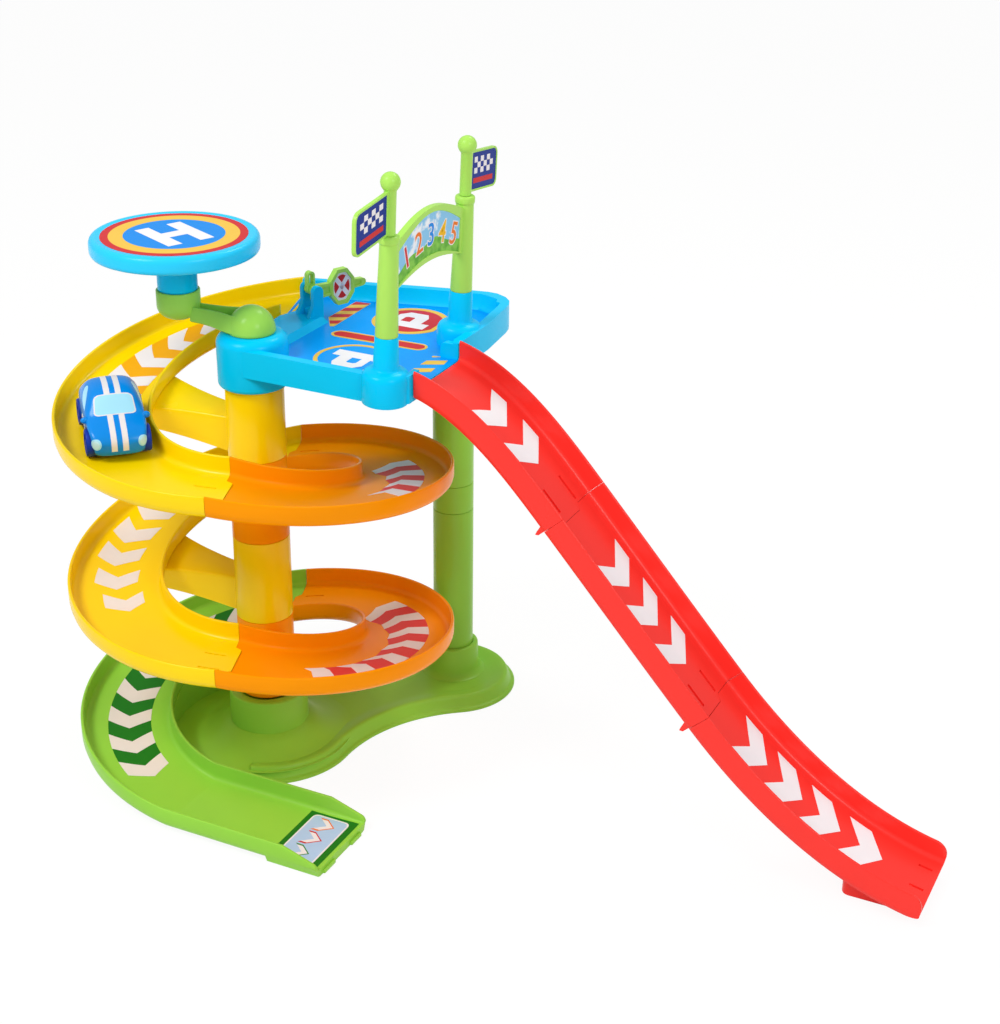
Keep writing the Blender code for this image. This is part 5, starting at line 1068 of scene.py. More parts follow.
CAR_PLACE, CAR_ANGLE = 104.5 * MM, math.radians(223.5)
WHEEL_X, AXLE_Z = 22, 10
car_turn, half_turn = CAR_ANGLE - FRONT_SEAM - FULL, WHEEL_X * MM / CAR_PLACE
ahead, behind = upper_yellow_rim(car_turn + half_turn), upper_yellow_rim(car_turn - half_turn)
CAR = (Matrix.Translation(polar(CAR_PLACE, CAR_ANGLE, (ahead + behind) / 2 - INSIDE_DEPTH + 1.3 * MM))
       @ Matrix.Rotation(CAR_ANGLE + QUARTER, 4, "Z")
       @ Matrix.Rotation(math.atan2(behind - ahead, 2 * WHEEL_X * MM), 4, "Y"))
# Each section: x, half width, sill, belt, top, share of the half width kept at the roof
CAR_SECTIONS = (
    (-36.6, 13, 11.5, 17.5, 20, 0.8), (-34.8, 18.5, 8.5, 21.5, 26.5, 0.8), (-29.5, 21.2, 7.2, 25, 33, 0.8),
    (-21, 21.9, 6.8, 26.5, 39.6, 0.75), (-9, 21.9, 6.8, 26.5, 41.2, 0.74), (0.5, 21.9, 6.8, 26.5, 40.9, 0.74),
    (8, 21.8, 6.6, 26, 36.6, 0.75), (14.5, 21.6, 6.2, 25, 29.6, 0.80), (21, 21.4, 5.6, 23, 26.6, 0.82),
    (28.5, 20.8, 4.6, 20.5, 23.6, 0.82), (34, 18.6, 4.2, 17.6, 19.8, 0.82), (37, 13.5, 6.5, 13.6, 15.2, 0.8))


def car_ring(x, half, foot, belt, top, roof):
    """One section of the body cage, from the sill up to the roof and down the other side."""
    shoulder = min(belt + 1.5, (belt + top) / 2)
    side = [(half * 0.45, foot), (half * 0.9, foot + 0.6), (half, foot + 4), (half, belt - 2), (half * 0.96, shoulder),
            (half * roof, max(shoulder + 0.5, top - 3)), (half * roof * 0.62, top)]
    return inmm([(x, y, z) for y, z in side] + [(x, -y, z) for y, z in side[::-1]])


def softened(bm, levels):
    """A loose shape whose cage is smoothed and baked."""
    cage = shape(bm)
    smooth = cage.modifiers.new("smooth", "SUBSURF")
    smooth.levels = smooth.render_levels = levels
    settle(cage)
    return cage


def pulled(outline, low, high):
    """A cut drawn in side view as (x, z) and pulled across the car, all in millimetres."""
    return cut(loft([inmm([(x, y, z) for x, z in outline]) for y in (low, high)]))


body_shell = softened(loft([car_ring(*section) for section in CAR_SECTIONS]), 3)
skin = BVHTree.FromPolygons([vert.co.copy() for vert in body_shell.data.vertices],
                            [tuple(face.vertices) for face in body_shell.data.polygons])
cuts = [pulled([(-31, 0), (31, 0), (31, 8.3), (-31, 8.3)], -13.6, 13.6)]
for wheel_x in (-WHEEL_X, WHEEL_X):
    tunnel = [(wheel_x - 2.6, 0), (wheel_x + 2.6, 0), (wheel_x + 2.6, 12.8), (wheel_x - 2.6, 12.8)]
    cuts.append(pulled(tunnel, -13.8, 13.8))
    for low, high in ((-30, -13.7), (13.7, 30)):
        cuts.append(pulled(circle(wheel_x, AXLE_Z, 11.5, 64), low, high))
body_mesh = solid(body_shell, *cuts)
body_mesh.transform(CAR)
body_piece = dressed(body_mesh, "car_body_shell", car_blue_abs, "car", 0.5 * MM, 42)
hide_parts("car_body")


def car_solid(bm, name, matrix, finish, body="car"):
    """A piece of the car, moved to its place on the track."""
    bmesh.ops.transform(bm, matrix=CAR @ matrix, verts=bm.verts)
    return finished(bm, name, finish, body, sharp=40)


SIDES = ((1, "left"), (-1, "right"))
for side, word in SIDES:
    ball = bmesh.new()
    bmesh.ops.create_uvsphere(ball, u_segments=32, v_segments=16, radius=1.0)
    bmesh.ops.scale(ball, vec=mm_vector(2.3, 3.4, 2.6), verts=ball.verts)
    car_solid(ball, "car_mirror_" + word, Matrix.Translation(mm_vector(14.5, side * 21.4, 24.3)), car_blue_abs)
WHEEL_PROFILE = [(0, -4.25), (9.0, -4.25), (9.7, -4.0), (10, -3.3), (10, 3.0), (9.7, 3.8), (9.0, 4.2), (8.2, 4.25),
                 (7.6, 4.1), (7.2, 3.6), (6.9, 2.0), (2.7, 2.0), (2.5, 3.5), (1.9, 4.0), (0, 4.1)]
SPOKE_STATIONS = ((2.2, 1.3, 3.5), (4.6, 0.9, 3.1), (7.2, 1.2, 3.4))
for axle, wheel_x in (("front", WHEEL_X), ("rear", -WHEEL_X)):
    for side, word in SIDES:
        hub = Matrix.Translation(mm_vector(wheel_x, side * 19, AXLE_Z)) @ Matrix.Rotation(-side * QUARTER, 4, "X")
        name = "car_wheel_%s_%s" % (axle, word)
        wheel = car_solid(turned(inmm(WHEEL_PROFILE), 64), name + "_tyre", hub, wheel_blue_abs, axle + "_wheels")
        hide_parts(name)
        for k in range(5):
            spoke = loft([inmm([(r, -w, 1.8), (r, w, 1.8), (r, w * 0.7, h), (r, -w * 0.7, h)])
                          for r, w, h in SPOKE_STATIONS])
            car_solid(spoke, "%s_spoke_%d" % (name, k + 1), hub @ Matrix.Rotation(FULL * k / 5, 4, "Z"),
                      wheel_blue_abs, axle + "_wheels")


# Printed film stickers

white_film = printed("white_film", "#ECE4E3")
amber_film = printed("amber_film", "#F2A900")
gold_film = printed("gold_film", "#F5BE00")
red_film = printed("red_film", "#E23A34")
dark_green_film = printed("dark_green_film", "#1C7A1C")


BACKING = 0.10 * MM
TOPMOST = 0.22 * MM


def sticker(name, outlines, place, finish, lift, cuts=3, body="tower"):
    """Film cut to flat outlines, then laid on the moulding by place(u, v) with its print facing out."""
    bm = bmesh.new()
    for outline in outlines:
        bm.faces.new([bm.verts.new((u, v, 0)) for u, v in outline])
    bmesh.ops.remove_doubles(bm, verts=bm.verts, dist=1e-4)
    bmesh.ops.triangulate(bm, faces=bm.faces)
    bm.normal_update()
    bmesh.ops.reverse_faces(bm, faces=[face for face in bm.faces if face.normal.z < 0])
    bm.faces.ensure_lookup_table()
    u, v, _ = max(bm.faces, key=lambda face: face.calc_area()).calc_center_median()
    spot = place(u, v, lift)
    facing = (place(u + 0.1, v, lift) - spot).cross(place(u, v + 0.1, lift) - spot)
    if facing.dot(place(u, v, lift + MM) - spot) < 0:
        bmesh.ops.reverse_faces(bm, faces=bm.faces)
    if cuts:
        bmesh.ops.subdivide_edges(bm, edges=bm.edges, cuts=cuts, use_grid_fill=True)
    for vert in bm.verts:
        vert.co = place(vert.co.x, vert.co.y, lift)
    mesh = bpy.data.meshes.new(name)
    rim = [edge.is_boundary for edge in bm.edges]
    bm.to_mesh(mesh)
    bm.free()
    piece = dressed(mesh, name, finish, body, sharp=30)
    for edge, on_rim in zip(mesh.edges, rim):
        if on_rim:
            edge.use_edge_sharp = True
    film = piece.modifiers.new("film", "SOLIDIFY")
    film.thickness = lift * 0.8
    film.offset = -1.0
    return piece


def track_place(rim):
    """Lay (degrees turned, millimetres across) on a spiral floor."""
    def place(degrees, across, lift):
        turn = math.radians(degrees)
        return polar(TRACK_RADIUS + across * MM, FRONT_SEAM + turn, rim(turn) - INSIDE_DEPTH + lift)
    return place


def chevron(start, inner, outer, middle, length=7.6, ahead=13.0, lean=0.0):
    """A chevron as (degrees, across): its arms are length long and its tip runs ahead of them."""
    notch = start + ahead - length + 0.6
    return [(start, outer), (start + length, outer), (start + ahead, middle), (start + length + lean, inner),
            (start + lean, inner), (notch, middle)]


def band(start, end, inner, outer, parts=12):
    """A strip of short quads."""
    quads = []
    for k in range(parts):
        a = start + (end - start) * k / parts
        b = start + (end - start) * (k + 1) / parts
        quads.append([(a, inner), (b, inner), (b, outer), (a, outer)])
    return quads


place = track_place(upper_yellow_rim)
base_turn = -180.0
sticker("upper_yellow_band", band(base_turn + 20, base_turn + 84, 15.5, 53.5), place, amber_film, BACKING, 1)
sticker("upper_yellow_chevrons", [chevron(base_turn + 23 + 14.4 * k, 15.5, 53.5, 35, lean=1.6) for k in range(5)],
        place, white_film, TOPMOST)
place = track_place(lower_yellow_rim)
rows = ((50, 67, 29, 48), (64.1, 62.5, 27, 45), (78, 59, 24.5, 41.5), (93, 53.5, 20.5, 36), (108.8, 46.5, 16.5, 30))
sticker("lower_yellow_chevrons", [chevron(180 + start, inner, outer, middle, 8.5, 13.5, 0.3)
                                  for start, outer, inner, middle in rows], place, white_film, TOPMOST)
place = track_place(orange_rim)
for name, base_turn, rows in (
        ("upper_orange", 0, ((79.5, 28.5, 32, 49), (95, 26, 32, 49), (110.5, 20.5, 33, 49.5), (126, 13, 34, 49.5))),
        ("lower_orange", 360, ((38.5, 31, 35.5, 51), (55.3, 31.5, 36, 51), (72.5, 30, 35.5, 51), (89.5, 26, 36.5, 51),
                               (106, 21, 36, 52), (122.5, 17, 34, 53), (139, 12, 34, 53)))):
    whites = []
    for tip, inner, middle, outer in rows:
        whites.append(chevron(base_turn + tip - 8.8, inner, outer, middle, 8, 8.8, -min(8, (tip - 36) / 5)))
    reds = [[a[1], b[0], b[5], b[4], a[3], a[2]] for a, b in zip(whites, whites[1:])]
    sticker(name + "_stripes", reds, place, red_film, BACKING)
    sticker(name + "_chevrons", whites, place, white_film, TOPMOST)
place = track_place(chute_rim)
sticker("chute_band", band(540 + 20, 540 + 134, 18, 51.5, 24), place, dark_green_film, BACKING, 1)
sticker("chute_chevrons", [chevron(540 + 18 + 15.6 * k, 18, 51.5, 35, 8, 13.6, 1.6) for k in range(8)], place,
        white_film, TOPMOST)


# Stickers on the deck, ramp, helipad, gate and barrier

pale_film = printed("pale_film", "#F2EEF0")
sign_red_film = printed("sign_red_film", "#D02C30")
sign_yellow_film = printed("sign_yellow_film", "#EEC24A")
sign_blue_film = printed("sign_blue_film", "#0C8CE8")
hot_orange_film = printed("hot_orange_film", "#EE7A22")
exit_blue_film = printed("exit_blue_film", "#B4D2F2")
sign_green_film = printed("sign_green_film", "#3C8C3A")
lamp_film = printed("lamp_film", "#C4ECF8", 0.2)
navy_film = printed("navy_film", "#0E2F8E")


def patchy_film(name, code, size, detail, ends, low, high, more=None):
    """Printed film with soft patches of one colour on another, about size millimetres across."""
    film = printed(name, code)
    tree = film.node_tree
    place = add(tree, "ShaderNodeTexCoord").outputs["Object"]
    mask = spread(tree, noise(tree, place, size, detail, more), {"From Min": ends[0], "From Max": ends[1]})
    feed(tree, tree.nodes["Principled BSDF"], {"Base Color": blend(tree, mask, linear(low), linear(high))})
    return film


def deck_place(x, y, lift):
    return Vector((x * MM, y * MM, FLOOR_Z + lift))


def ring_quads(x, y, inner, outer, steps=72):
    a = arc(x, y, inner, 0, FULL, steps)
    b = arc(x, y, outer, 0, FULL, steps)
    return [[a[i], b[i], b[i + 1], a[i + 1]] for i in range(steps)]


def bar(start, end, half, steps=10):
    """A bar with round ends."""
    a, b = Vector(start), Vector(end)
    heading = math.atan2(b.y - a.y, b.x - a.x)
    return arc(b.x, b.y, half, heading - QUARTER, heading + QUARTER, steps) + \
        arc(a.x, a.y, half, heading + QUARTER, heading + 3 * QUARTER, steps)


def between(outline, low, high):
    """The part of an outline between two y places."""
    def clip(points, level, keep_above):
        kept = []
        for i, here in enumerate(points):
            before = points[i - 1]
            inside = (here[1] >= level) == keep_above
            was = (before[1] >= level) == keep_above
            if inside != was:
                t = (level - before[1]) / (here[1] - before[1])
                kept.append((before[0] + t * (here[0] - before[0]), level))
            if inside:
                kept.append(here)
        return kept
    return clip(clip(outline, low, True), high, False)


def left_of(outline, limit):
    """The part of an outline at a smaller x than the limit."""
    swapped = [(y, x) for x, y in outline]
    return [(x, y) for y, x in between(swapped, -1000, limit)]


FIRST_LIFT, LIFT_STEP = 0.16, 0.06


def stack(place, *layers, first=0):
    """Film layers one over another: (name, outlines, finish)."""
    for level, (name, outlines, finish) in enumerate(layers, first):
        sticker(name, outlines, place, finish, (FIRST_LIFT + LIFT_STEP * level) * MM, 0)


def letter_p(foot_x, side_y, sign):
    """Blocky parking letter with its stem along x: the stroke quads round one counter."""
    def at(points):
        return [(foot_x - sign * u, side_y + sign * v) for u, v in points]
    bowl = [(7, 11), (7, 24), (11, 31.5), (26, 31.5), (32, 24), (32, 11)]
    counter = [(17, 11), (17, 20), (18, 21.5), (23, 21.5), (25, 20), (25, 11)]
    strokes = [[(0, 0), (34, 0), (34, 11), (0, 11)]]
    strokes += [[bowl[i], bowl[i + 1], counter[i + 1], counter[i]] for i in range(5)]
    return [at(stroke) for stroke in strokes]


hazard = [(6.4, 97.8), (6.4, 140), (19, 141.8), (20.6, 82), (17.6, 80.6)]
HAZARD_SLANT = 0.53
HAZARD_STEP = 16.9
slanted = [(x, y - HAZARD_SLANT * x) for x, y in ((6.7, 98.0), (6.7, 139.7), (18.7, 141.4), (20.3, 82.4), (17.6, 81.2))]
stripes = [[(x, y + HAZARD_SLANT * x) for x, y in
            between(slanted, 77.5 + HAZARD_STEP * k, 85.9 + HAZARD_STEP * k)] for k in range(4)]
stack(deck_place, ("deck_hazard_base", [hazard], sign_yellow_film), ("deck_hazard_stripes", stripes, sign_red_film))
stack(deck_place, ("deck_far_ring", [left_of(circle(66.5, 120, 30), 93.5)], sign_yellow_film),
      ("deck_far_disc", [left_of(circle(66.5, 120, 25.2), 89.5)], sign_red_film),
      ("deck_far_letter", letter_p(84.2, 106, 1), pale_film))
stack(deck_place, ("deck_near_ring", ring_quads(68, 28, 25.6, 28.8), sign_yellow_film),
      ("deck_near_letter", letter_p(50.5, 40, -1), pale_film))
BAR_ENDS = ((33.5, 69.6), (99.5, 71.4))
stack(deck_place, ("deck_bar_border", [bar(*BAR_ENDS, 7.0)], sign_yellow_film),
      ("deck_bar", [bar(*BAR_ENDS, 5.0)], sign_red_film))
stack(deck_place, ("deck_mouth_dashes", [[(118.1, 57.6), (118.1, 59.4), (122, 60.4), (124.5, 60.4), (119.2, 56.6)],
                                         [(118.3, 39.5), (118.6, 48.6), (132.3, 55.8), (133.4, 47.3)],
                                         [(118.3, 21.8), (118, 30.5), (131.6, 37.6), (132.2, 29.4)]],
                   sign_yellow_film))


def ramp_place(number):
    at, length = courses[number]

    def place(along, across, lift):
        return ramp_point(number, at, along * MM / length, across * MM, RAMP_DEPTH - lift)
    return place


def ramp_chevron(start):
    return [(start, 62), (start + 17.5, 62), (start + 32, 40), (start + 20.5, 20), (start + 3, 20), (start + 15, 40)]


for number, (name, starts) in enumerate((("ramp_top", (40.3, 75.4)), ("ramp_middle", (38.3, 73.1, 107.5)),
                                         ("ramp_bottom", (26, 58.7, 91, 123.7)))):
    sticker(name + "_chevrons", [ramp_chevron(start) for start in starts], ramp_place(number), pale_film, TOPMOST)


def pad_place(u, v, lift):
    """(u, v) on the disc, turned so that its letter faces the way it does on the toy."""
    turn = math.radians(PAD_TURN)
    return Vector((PAD.x + (u * math.cos(turn) - v * math.sin(turn)) * MM,
                   PAD.y + (u * math.sin(turn) + v * math.cos(turn)) * MM, PAD_TOP * MM + lift))


for level, (name, outlines, finish) in enumerate((
        ("pad_red_ring", ring_quads(0, 0, 47.6, 53.6, steps=120), sign_red_film),
        ("pad_yellow_ring", ring_quads(0, 0, 37, 47.6, steps=120), sign_yellow_film),
        ("pad_blue_centre", [circle(0, 0, 37, 120)], sign_blue_film))):
    sticker(name, outlines, pad_place, finish, (0.14 + 0.01 * level) * MM, 0, "helipad")
letter_h = [[(-19, -24.5), (-7.5, -24.5), (-7.5, 24.5), (-19, 24.5)],
            [(7.5, -24.5), (19, -24.5), (19, 24.5), (7.5, 24.5)],
            [(-7.5, -5.8), (7.5, -5.8), (7.5, 5.8), (-7.5, 5.8)]]
sticker("pad_letter", letter_h, pad_place, pale_film, 0.24 * MM, 0, "helipad")


def face_place(side, depth):
    """Lay (y, z) in millimetres on one face of the leaning gate."""
    def place(y, z, lift):
        return upright(GATE_X + side * (depth * MM + lift), y * MM, z * MM)
    return place


def numeral(text, size, y, z, grow, turn=0.0):
    """One plain numeral as flat outlines, grown for its white edge."""
    curve = bpy.data.curves.new("numeral", "FONT")
    curve.body = text
    curve.size = size
    curve.offset = grow
    curve.align_x = curve.align_y = "CENTER"
    curve.resolution_u = 6
    word = placed("numeral", curve)
    mesh = baked(word)
    bpy.data.objects.remove(word, do_unlink=True)
    bpy.data.curves.remove(curve)
    cosine, sine = math.cos(turn), math.sin(turn)
    outlines = []
    for polygon in mesh.polygons:
        points = [mesh.vertices[i].co for i in polygon.vertices]
        outlines.append([(y + p.x * cosine - p.y * sine, z + p.x * sine + p.y * cosine) for p in points])
    bpy.data.meshes.remove(mesh)
    return outlines


GATE_MIDDLE = 40.25
NUMERAL_SIZE, NUMERAL_START, NUMERAL_STEP = 23, 6.5, 17.6


def banner_print(side):
    """Sky over a hill, and five numerals that follow the arch."""
    place = face_place(side, 1.7)
    panel = [(y / MM, z / MM) for y, z in banner_outline(BANNER_BORDER, BANNER_SIDE)]
    name = "banner_front" if side > 0 else "banner_back"
    count = len(panel) // 2
    low, high = panel[:count], panel[count:][::-1]
    hill = [(a[0], a[1] + (b[1] - a[1]) * (0.34 + 0.05 * math.sin(0.16 * a[0]))) for a, b in zip(low, high)]
    sky_quads = [[hill[i], hill[i + 1], high[i + 1], high[i]] for i in range(count - 1)]
    hill_quads = [[low[i], low[i + 1], hill[i + 1], hill[i]] for i in range(count - 1)]
    sticker(name + "_sky", sky_quads, place, SKY, 0.06 * MM, 0)
    sticker(name + "_hill", hill_quads, place, HILL, 0.08 * MM, 0)
    finishes = (sign_red_film, hot_orange_film, sign_blue_film, gold_film, hot_orange_film)
    for number, finish in enumerate(finishes):
        y = NUMERAL_START + NUMERAL_STEP * number
        share = (y - panel[0][0]) / (panel[count - 1][0] - panel[0][0])
        z = 414.4 + 12.4 * math.sin(HALF * share)
        for part, grow, film, lift in (("edge", 1.0, pale_film, 0.12), ("digit", 0.2, finish, 0.18)):
            outlines = numeral(str(number + 1), NUMERAL_SIZE, y, z, grow, 0.34 * math.cos(HALF * share))
            facing = [[(GATE_MIDDLE + side * (a - GATE_MIDDLE), b) for a, b in outline] for outline in outlines]
            sticker("%s_%s_%d" % (name, part, number + 1), facing, place, film, lift * MM, 0)


SKY = patchy_film("sky_film", "#9ED4F4", 13, 4.0, (0.50, 0.60), "#8CCBF2", "#F4FAFF", {"Roughness": 0.55})
HILL = patchy_film("hill_film", "#6FBE3C", 9, 2.0, (0.40, 0.62), "#57A82E", "#86CC4C")
banner_print(1)
banner_print(-1)


FLAG_SPAN, FLAG_FOOT, FLAG_RISE = 40.5, 445.1, 27.4
SQUARE_WIDE, SQUARE_HIGH = 0.125, 0.15


def flag_print(name, y, side):
    """Navy panel with a small chequered field over a red bar: a plain racing flag."""
    for face in (1, -1):
        place = face_place(face, 0.9)
        label = name + ("_front" if face > 0 else "_back")
        panel = [((y + a) / MM, z / MM) for a, z in flag_outline(side, FLAG_BORDER, FLAG_ROOT * MM)]

        def spot(u, v):
            """Share along the flag and up it."""
            along = FLAG_ROOT + u * FLAG_SPAN
            return y / MM + side * along, FLAG_FOOT + v * FLAG_RISE - FLAG_DROOP * along / 48.5
        sticker(label + "_panel", [panel], place, navy_film, 0.06 * MM, 0)
        squares = []
        for i in range(6):
            for j in range(3):
                if (i + j) % 2 == 0:
                    a, b = 0.12 + SQUARE_WIDE * i, 0.42 + SQUARE_HIGH * j
                    c, d = a + SQUARE_WIDE, b + SQUARE_HIGH
                    squares.append([spot(a, b), spot(c, b), spot(c, d), spot(a, d)])
        sticker(label + "_squares", squares, place, pale_film, 0.12 * MM, 0)
        sticker(label + "_bar", [[spot(0.1, 0.16), spot(0.88, 0.16), spot(0.88, 0.3), spot(0.1, 0.3)]], place,
                sign_red_film, 0.12 * MM, 0)


flag_print("flag_near_print", GATE_NEAR, -1)
flag_print("flag_far_print", GATE_FAR, 1)


def sign_place(side):
    """Lay (along, z) in millimetres on one face of the barrier's sign."""
    def place(along, z, lift):
        return Vector(hinge_point(along * MM, side * (HALF_ARM - 1 * MM + lift), z * MM))
    return place


def sign_print(side):
    place = sign_place(side)
    name = "barrier_sign_front" if side > 0 else "barrier_sign_back"
    centre = (SIGN / MM, ROOT_Z / MM)

    def oval(radius):
        return [(centre[0] + a * SIGN_WIDE, centre[1] + b * SIGN_HIGH) for a, b in circle(0, 0, radius, 48)]
    sticker(name + "_ground", [[(a / MM, z / MM) for a, z in octagon(0.79)]], place, pale_film, 0.08 * MM, 0, "barrier")
    sticker(name + "_disc", [oval(0.66)], place, sign_red_film, 0.14 * MM, 0, "barrier")
    cross = []
    for tilt in (-1, 1):
        a, b = 0.105, 0.50
        points = [(-b - a, -b + a), (-b + a, -b - a), (b + a, b - a), (b - a, b + a)]
        cross.append([(centre[0] + tilt * u * SIGN_WIDE, centre[1] + v * SIGN_HIGH) for u, v in points])
    sticker(name + "_cross", cross, place, pale_film, 0.20 * MM, 0, "barrier")


sign_print(1)
sign_print(-1)


# Car films, laid on the skin along rays

glass_film = printed("glass_film", "#A8E4FA", 0.2)


def skin_place(aim):
    """aim(u, v) gives a place inside the car and the way out of it; the film lies where that meets the skin."""
    def place(u, v, lift):
        start, way = aim(u, v)
        spot, normal, _, _ = skin.ray_cast(Vector(start) * MM, Vector(way).normalized())
        return CAR @ (spot + normal * lift)
    return place


def over(degrees, y):
    return (0, y, 14), (math.cos(math.radians(degrees)), 0, math.sin(math.radians(degrees)))


def beside(side):
    return lambda x, z: ((x, 0, z), (0, side, 0))


def lamp_aim(side):
    way = Vector((math.cos(0.6), side * math.sin(0.6), 0))
    aside = Vector((-way.y, way.x, 0))
    return lambda u, v: (Vector((32.5, side * 15.6, 15)) - way * 20 + aside * u + Vector((0, 0, v)), way)


def panel(low, high, foot, head, corner, rows=20, columns=14):
    """A window with round corners as a grid of quads, half foot wide at its low edge and half head at the high one."""
    def width(u):
        into = max(0, corner - (u - low), corner - (high - u))
        edge = foot + (head - foot) * (u - low) / (high - low)
        return edge - corner * 0.35 + 0.35 * math.sqrt(corner ** 2 - into ** 2)
    quads = []
    for i in range(rows):
        a, b = low + (high - low) * i / rows, low + (high - low) * (i + 1) / rows
        for j in range(columns):
            s, t = 2 * j / columns - 1, 2 * (j + 1) / columns - 1
            quads.append([(a, width(a) * s), (b, width(b) * s), (b, width(b) * t), (a, width(a) * t)])
    return quads


def teardrop(x, z, length, half, lean):
    points = []
    for k in range(40):
        t = FULL * k / 40
        a, b = length * math.cos(t), half * math.sin(t) * math.sin(t / 2) ** 1.2
        points.append((x + a * math.cos(lean) - b * math.sin(lean), z + a * math.sin(lean) + b * math.cos(lean)))
    return points


car_top = skin_place(over)
for number, (low, high) in enumerate(((-6.1, -2.0), (2.0, 6.1))):
    sticker("car_stripe_%d" % (number + 1), band(-7, 176, low, high, 90), car_top, white_film, 0.10 * MM, 0, "car")
sticker("car_windscreen_frame", panel(39.5, 80, 15.2, 13.8, 8), car_top, white_film, 0.16 * MM, 0, "car")
sticker("car_windscreen", panel(41.5, 78, 14.2, 12.9, 7), car_top, glass_film, 0.22 * MM, 0, "car")
ROUNDEL = (3.2, 16.3)
for side, word in SIDES:
    figure = numeral("8", 10.5, *ROUNDEL, 0.15)
    digit = [[(ROUNDEL[0] - side * (a - ROUNDEL[0]), b) for a, b in outline] for outline in figure]
    door, nose = skin_place(beside(side)), skin_place(lamp_aim(side))
    for name, outlines, place, finish, lift, cuts in (
            ("window", [teardrop(-3.5, 31.6, 11, 4.6, math.radians(-22))], door, glass_film, 0.12, 3),
            ("roundel_edge", [circle(*ROUNDEL, 6.6, 48)], door, glass_film, 0.10, 3),
            ("roundel", [circle(*ROUNDEL, 6.0, 48)], door, white_film, 0.16, 3),
            ("number", digit, door, navy_film, 0.22, 0),
            ("lamp_edge", [circle(0, 0, 4.1, 48)], nose, glass_film, 0.12, 3),
            ("lamp", [circle(0, 0, 3.0, 48)], nose, lamp_film, 0.20, 3)):
        sticker("car_%s_%s" % (name, word), outlines, place, finish, lift * MM, cuts, "car")


# Exit panel of the chute: a green border round a pale panel with three way marks

def chute_place(x, y, lift):
    return Vector((x * MM, y * MM, 6.3 * MM + lift))


def way_mark(x, y, size):
    """Arrow head that points out of the chute."""
    near, far = x - 0.2 * size, x + 0.2 * size
    return [(x - size, y - size), (near, y - size), (x + size, y), (near, y + size), (x - size, y + size), (far, y)]


def soft_box(low_x, high_x, low_y, high_y, radius):
    return rounded([(low_x, low_y), (high_x, low_y), (high_x, high_y), (low_x, high_y)], radius, 6)


stack(chute_place, ("exit_border", [[(88.2, -143), (128.6, -143), (128.6, -80.6), (88.2, -80.6)]], dark_green_film),
      ("exit_edge", [soft_box(92.6, 123.4, -141.6, -84.2, 5)], pale_film),
      ("exit_panel", [soft_box(93.9, 122.1, -140.3, -85.5, 4)], exit_blue_film))
for number, (y, film) in enumerate(((-95, hot_orange_film), (-112.9, sign_red_film), (-130.8, sign_green_film))):
    stack(chute_place, ("exit_mark_edge_%d" % (number + 1), [way_mark(107.4, y, 8.0)], film),
          ("exit_mark_%d" % (number + 1), [way_mark(107.5, y, 6.4)], pale_film), first=3)
for number, (low, high) in enumerate(((-100.6, -85.2), (-139.4, -122.6))):
    tab = inmm([(130.8, low), (133.4, low + 0.8), (133.4, high - 0.8), (130.8, high)])
    finished(prism(tab, 0.4 * MM, 3.4 * MM), "chute_tab_%d" % (number + 1), base_green_abs,
             round_edge=0.4 * MM)


# Studio

def camera_or(tree, kind):
    """1 for camera rays and for one other kind of ray."""
    rays = add(tree, "ShaderNodeLightPath")
    return add(tree, "ShaderNodeMath", {0: rays.outputs["Is Camera Ray"], 1: rays.outputs[kind]},
               operation="MAXIMUM").outputs[0]


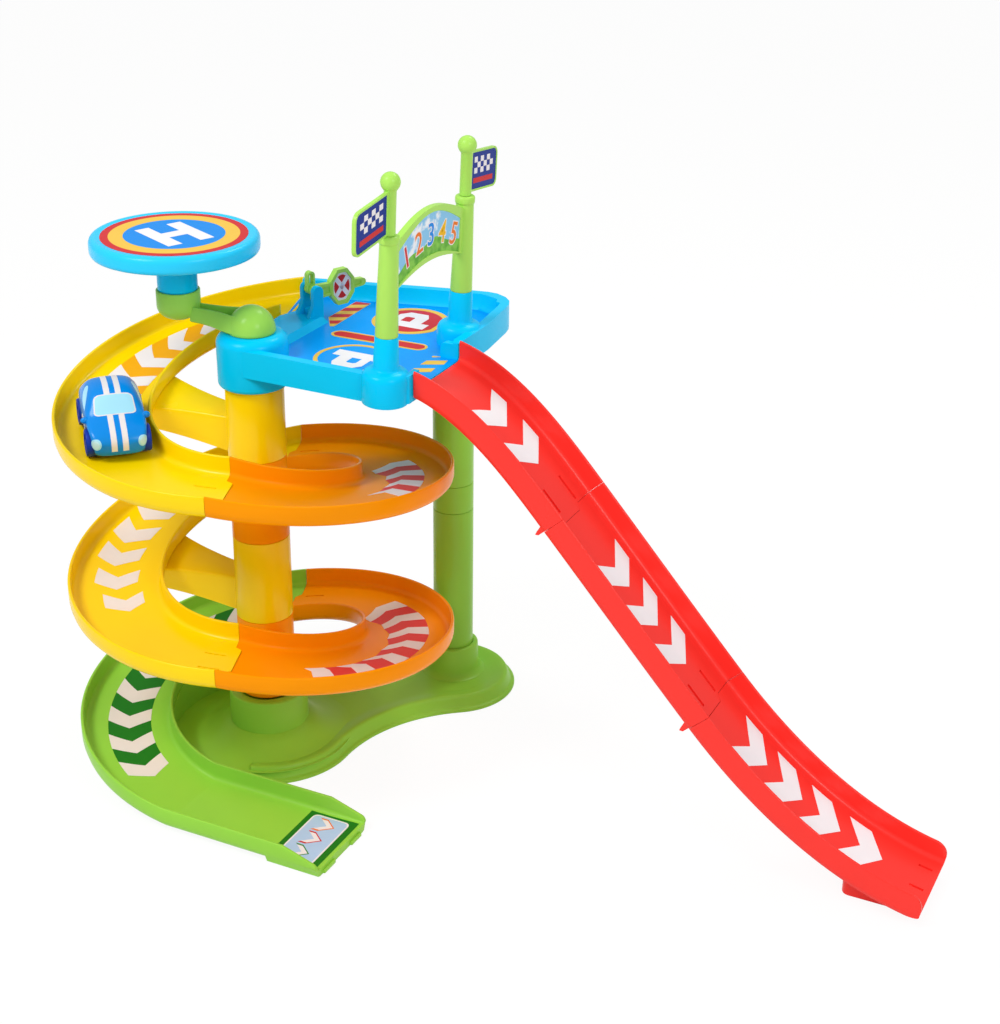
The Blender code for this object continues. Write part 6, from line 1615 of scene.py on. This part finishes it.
def studio():
    """A pale seamless floor, a soft room and three soft lamps."""
    bm = bmesh.new()
    bmesh.ops.create_grid(bm, x_segments=2, y_segments=2, size=6.0)
    mesh = bpy.data.meshes.new("studio_floor")
    bm.to_mesh(mesh)
    bm.free()
    floor = placed("studio_floor", mesh)
    floor.location = (0, 0, -0.0002)
    paper, tree, shader = blank("white_paper_sweep")
    feed(tree, shader, {"Base Color": linear("#F4F4F2"), "Roughness": 0.9})
    glow = add(tree, "ShaderNodeEmission", {"Color": (1, 1, 1, 1), "Strength": 1.03})
    share = add(tree, "ShaderNodeMath", {0: camera_or(tree, "Is Glossy Ray"), 1: 0.90}, operation="MULTIPLY")
    both = add(tree, "ShaderNodeMixShader", {0: share.outputs[0], 1: shader.outputs[0], 2: glow.outputs[0]})
    feed(tree, tree.nodes["Material Output"], {"Surface": both.outputs[0]})
    mesh.materials.append(paper)

    world = bpy.data.worlds.new("studio_room")
    world.use_nodes = True
    bpy.context.scene.world = world
    tree = world.node_tree
    room = tree.nodes["Background"]
    feed(tree, room, {"Color": (1, 1, 1, 1), "Strength": 0.52})
    white = add(tree, "ShaderNodeBackground", {"Color": (1, 1, 1, 1), "Strength": 1.0})
    both = add(tree, "ShaderNodeMixShader", {0: camera_or(tree, "Is Transmission Ray"), 1: room.outputs[0],
                                             2: white.outputs[0]})
    feed(tree, tree.nodes["World Output"], {"Surface": both.outputs[0]})

    middle = Vector((0.15, 0.02, 0.20))
    for name, place, size, power in (("key_softbox", (-0.55, -1.10, 1.75), 0.6, 19.5),
                                     ("side_softbox", (1.55, -0.75, 1.25), 0.5, 8.5),
                                     ("back_softbox", (0.30, 1.00, 1.60), 0.45, 6.0)):
        lamp = bpy.data.lights.new(name, "AREA")
        lamp.shape = "SQUARE"
        lamp.size = size
        lamp.energy = power
        stand = placed(name, lamp)
        stand.location = place
        stand.rotation_mode = "QUATERNION"
        stand.rotation_quaternion = (middle - Vector(place)).to_track_quat("-Z", "Y")


def camera():
    """The photograph's viewpoint."""
    right = Vector((0.89892, 0.43798, 0.01091))
    up = Vector((-0.19452, 0.37667, 0.90569))
    forward = Vector((-0.39256, 0.81627, -0.42380))
    data = bpy.data.cameras.new("studio_camera")
    data.sensor_width = 36.0
    data.lens = 66.10
    data.clip_start = 0.05
    data.clip_end = 20.0
    shot = placed("studio_camera", data)
    turn = Matrix((right, up, -forward)).transposed()
    shot.matrix_world = Matrix.Translation((0.72764, -1.09104, 0.81173)) @ turn.to_4x4()
    bpy.context.scene.camera = shot


studio()
camera()
bpy.context.scene.view_settings.view_transform = "Standard"
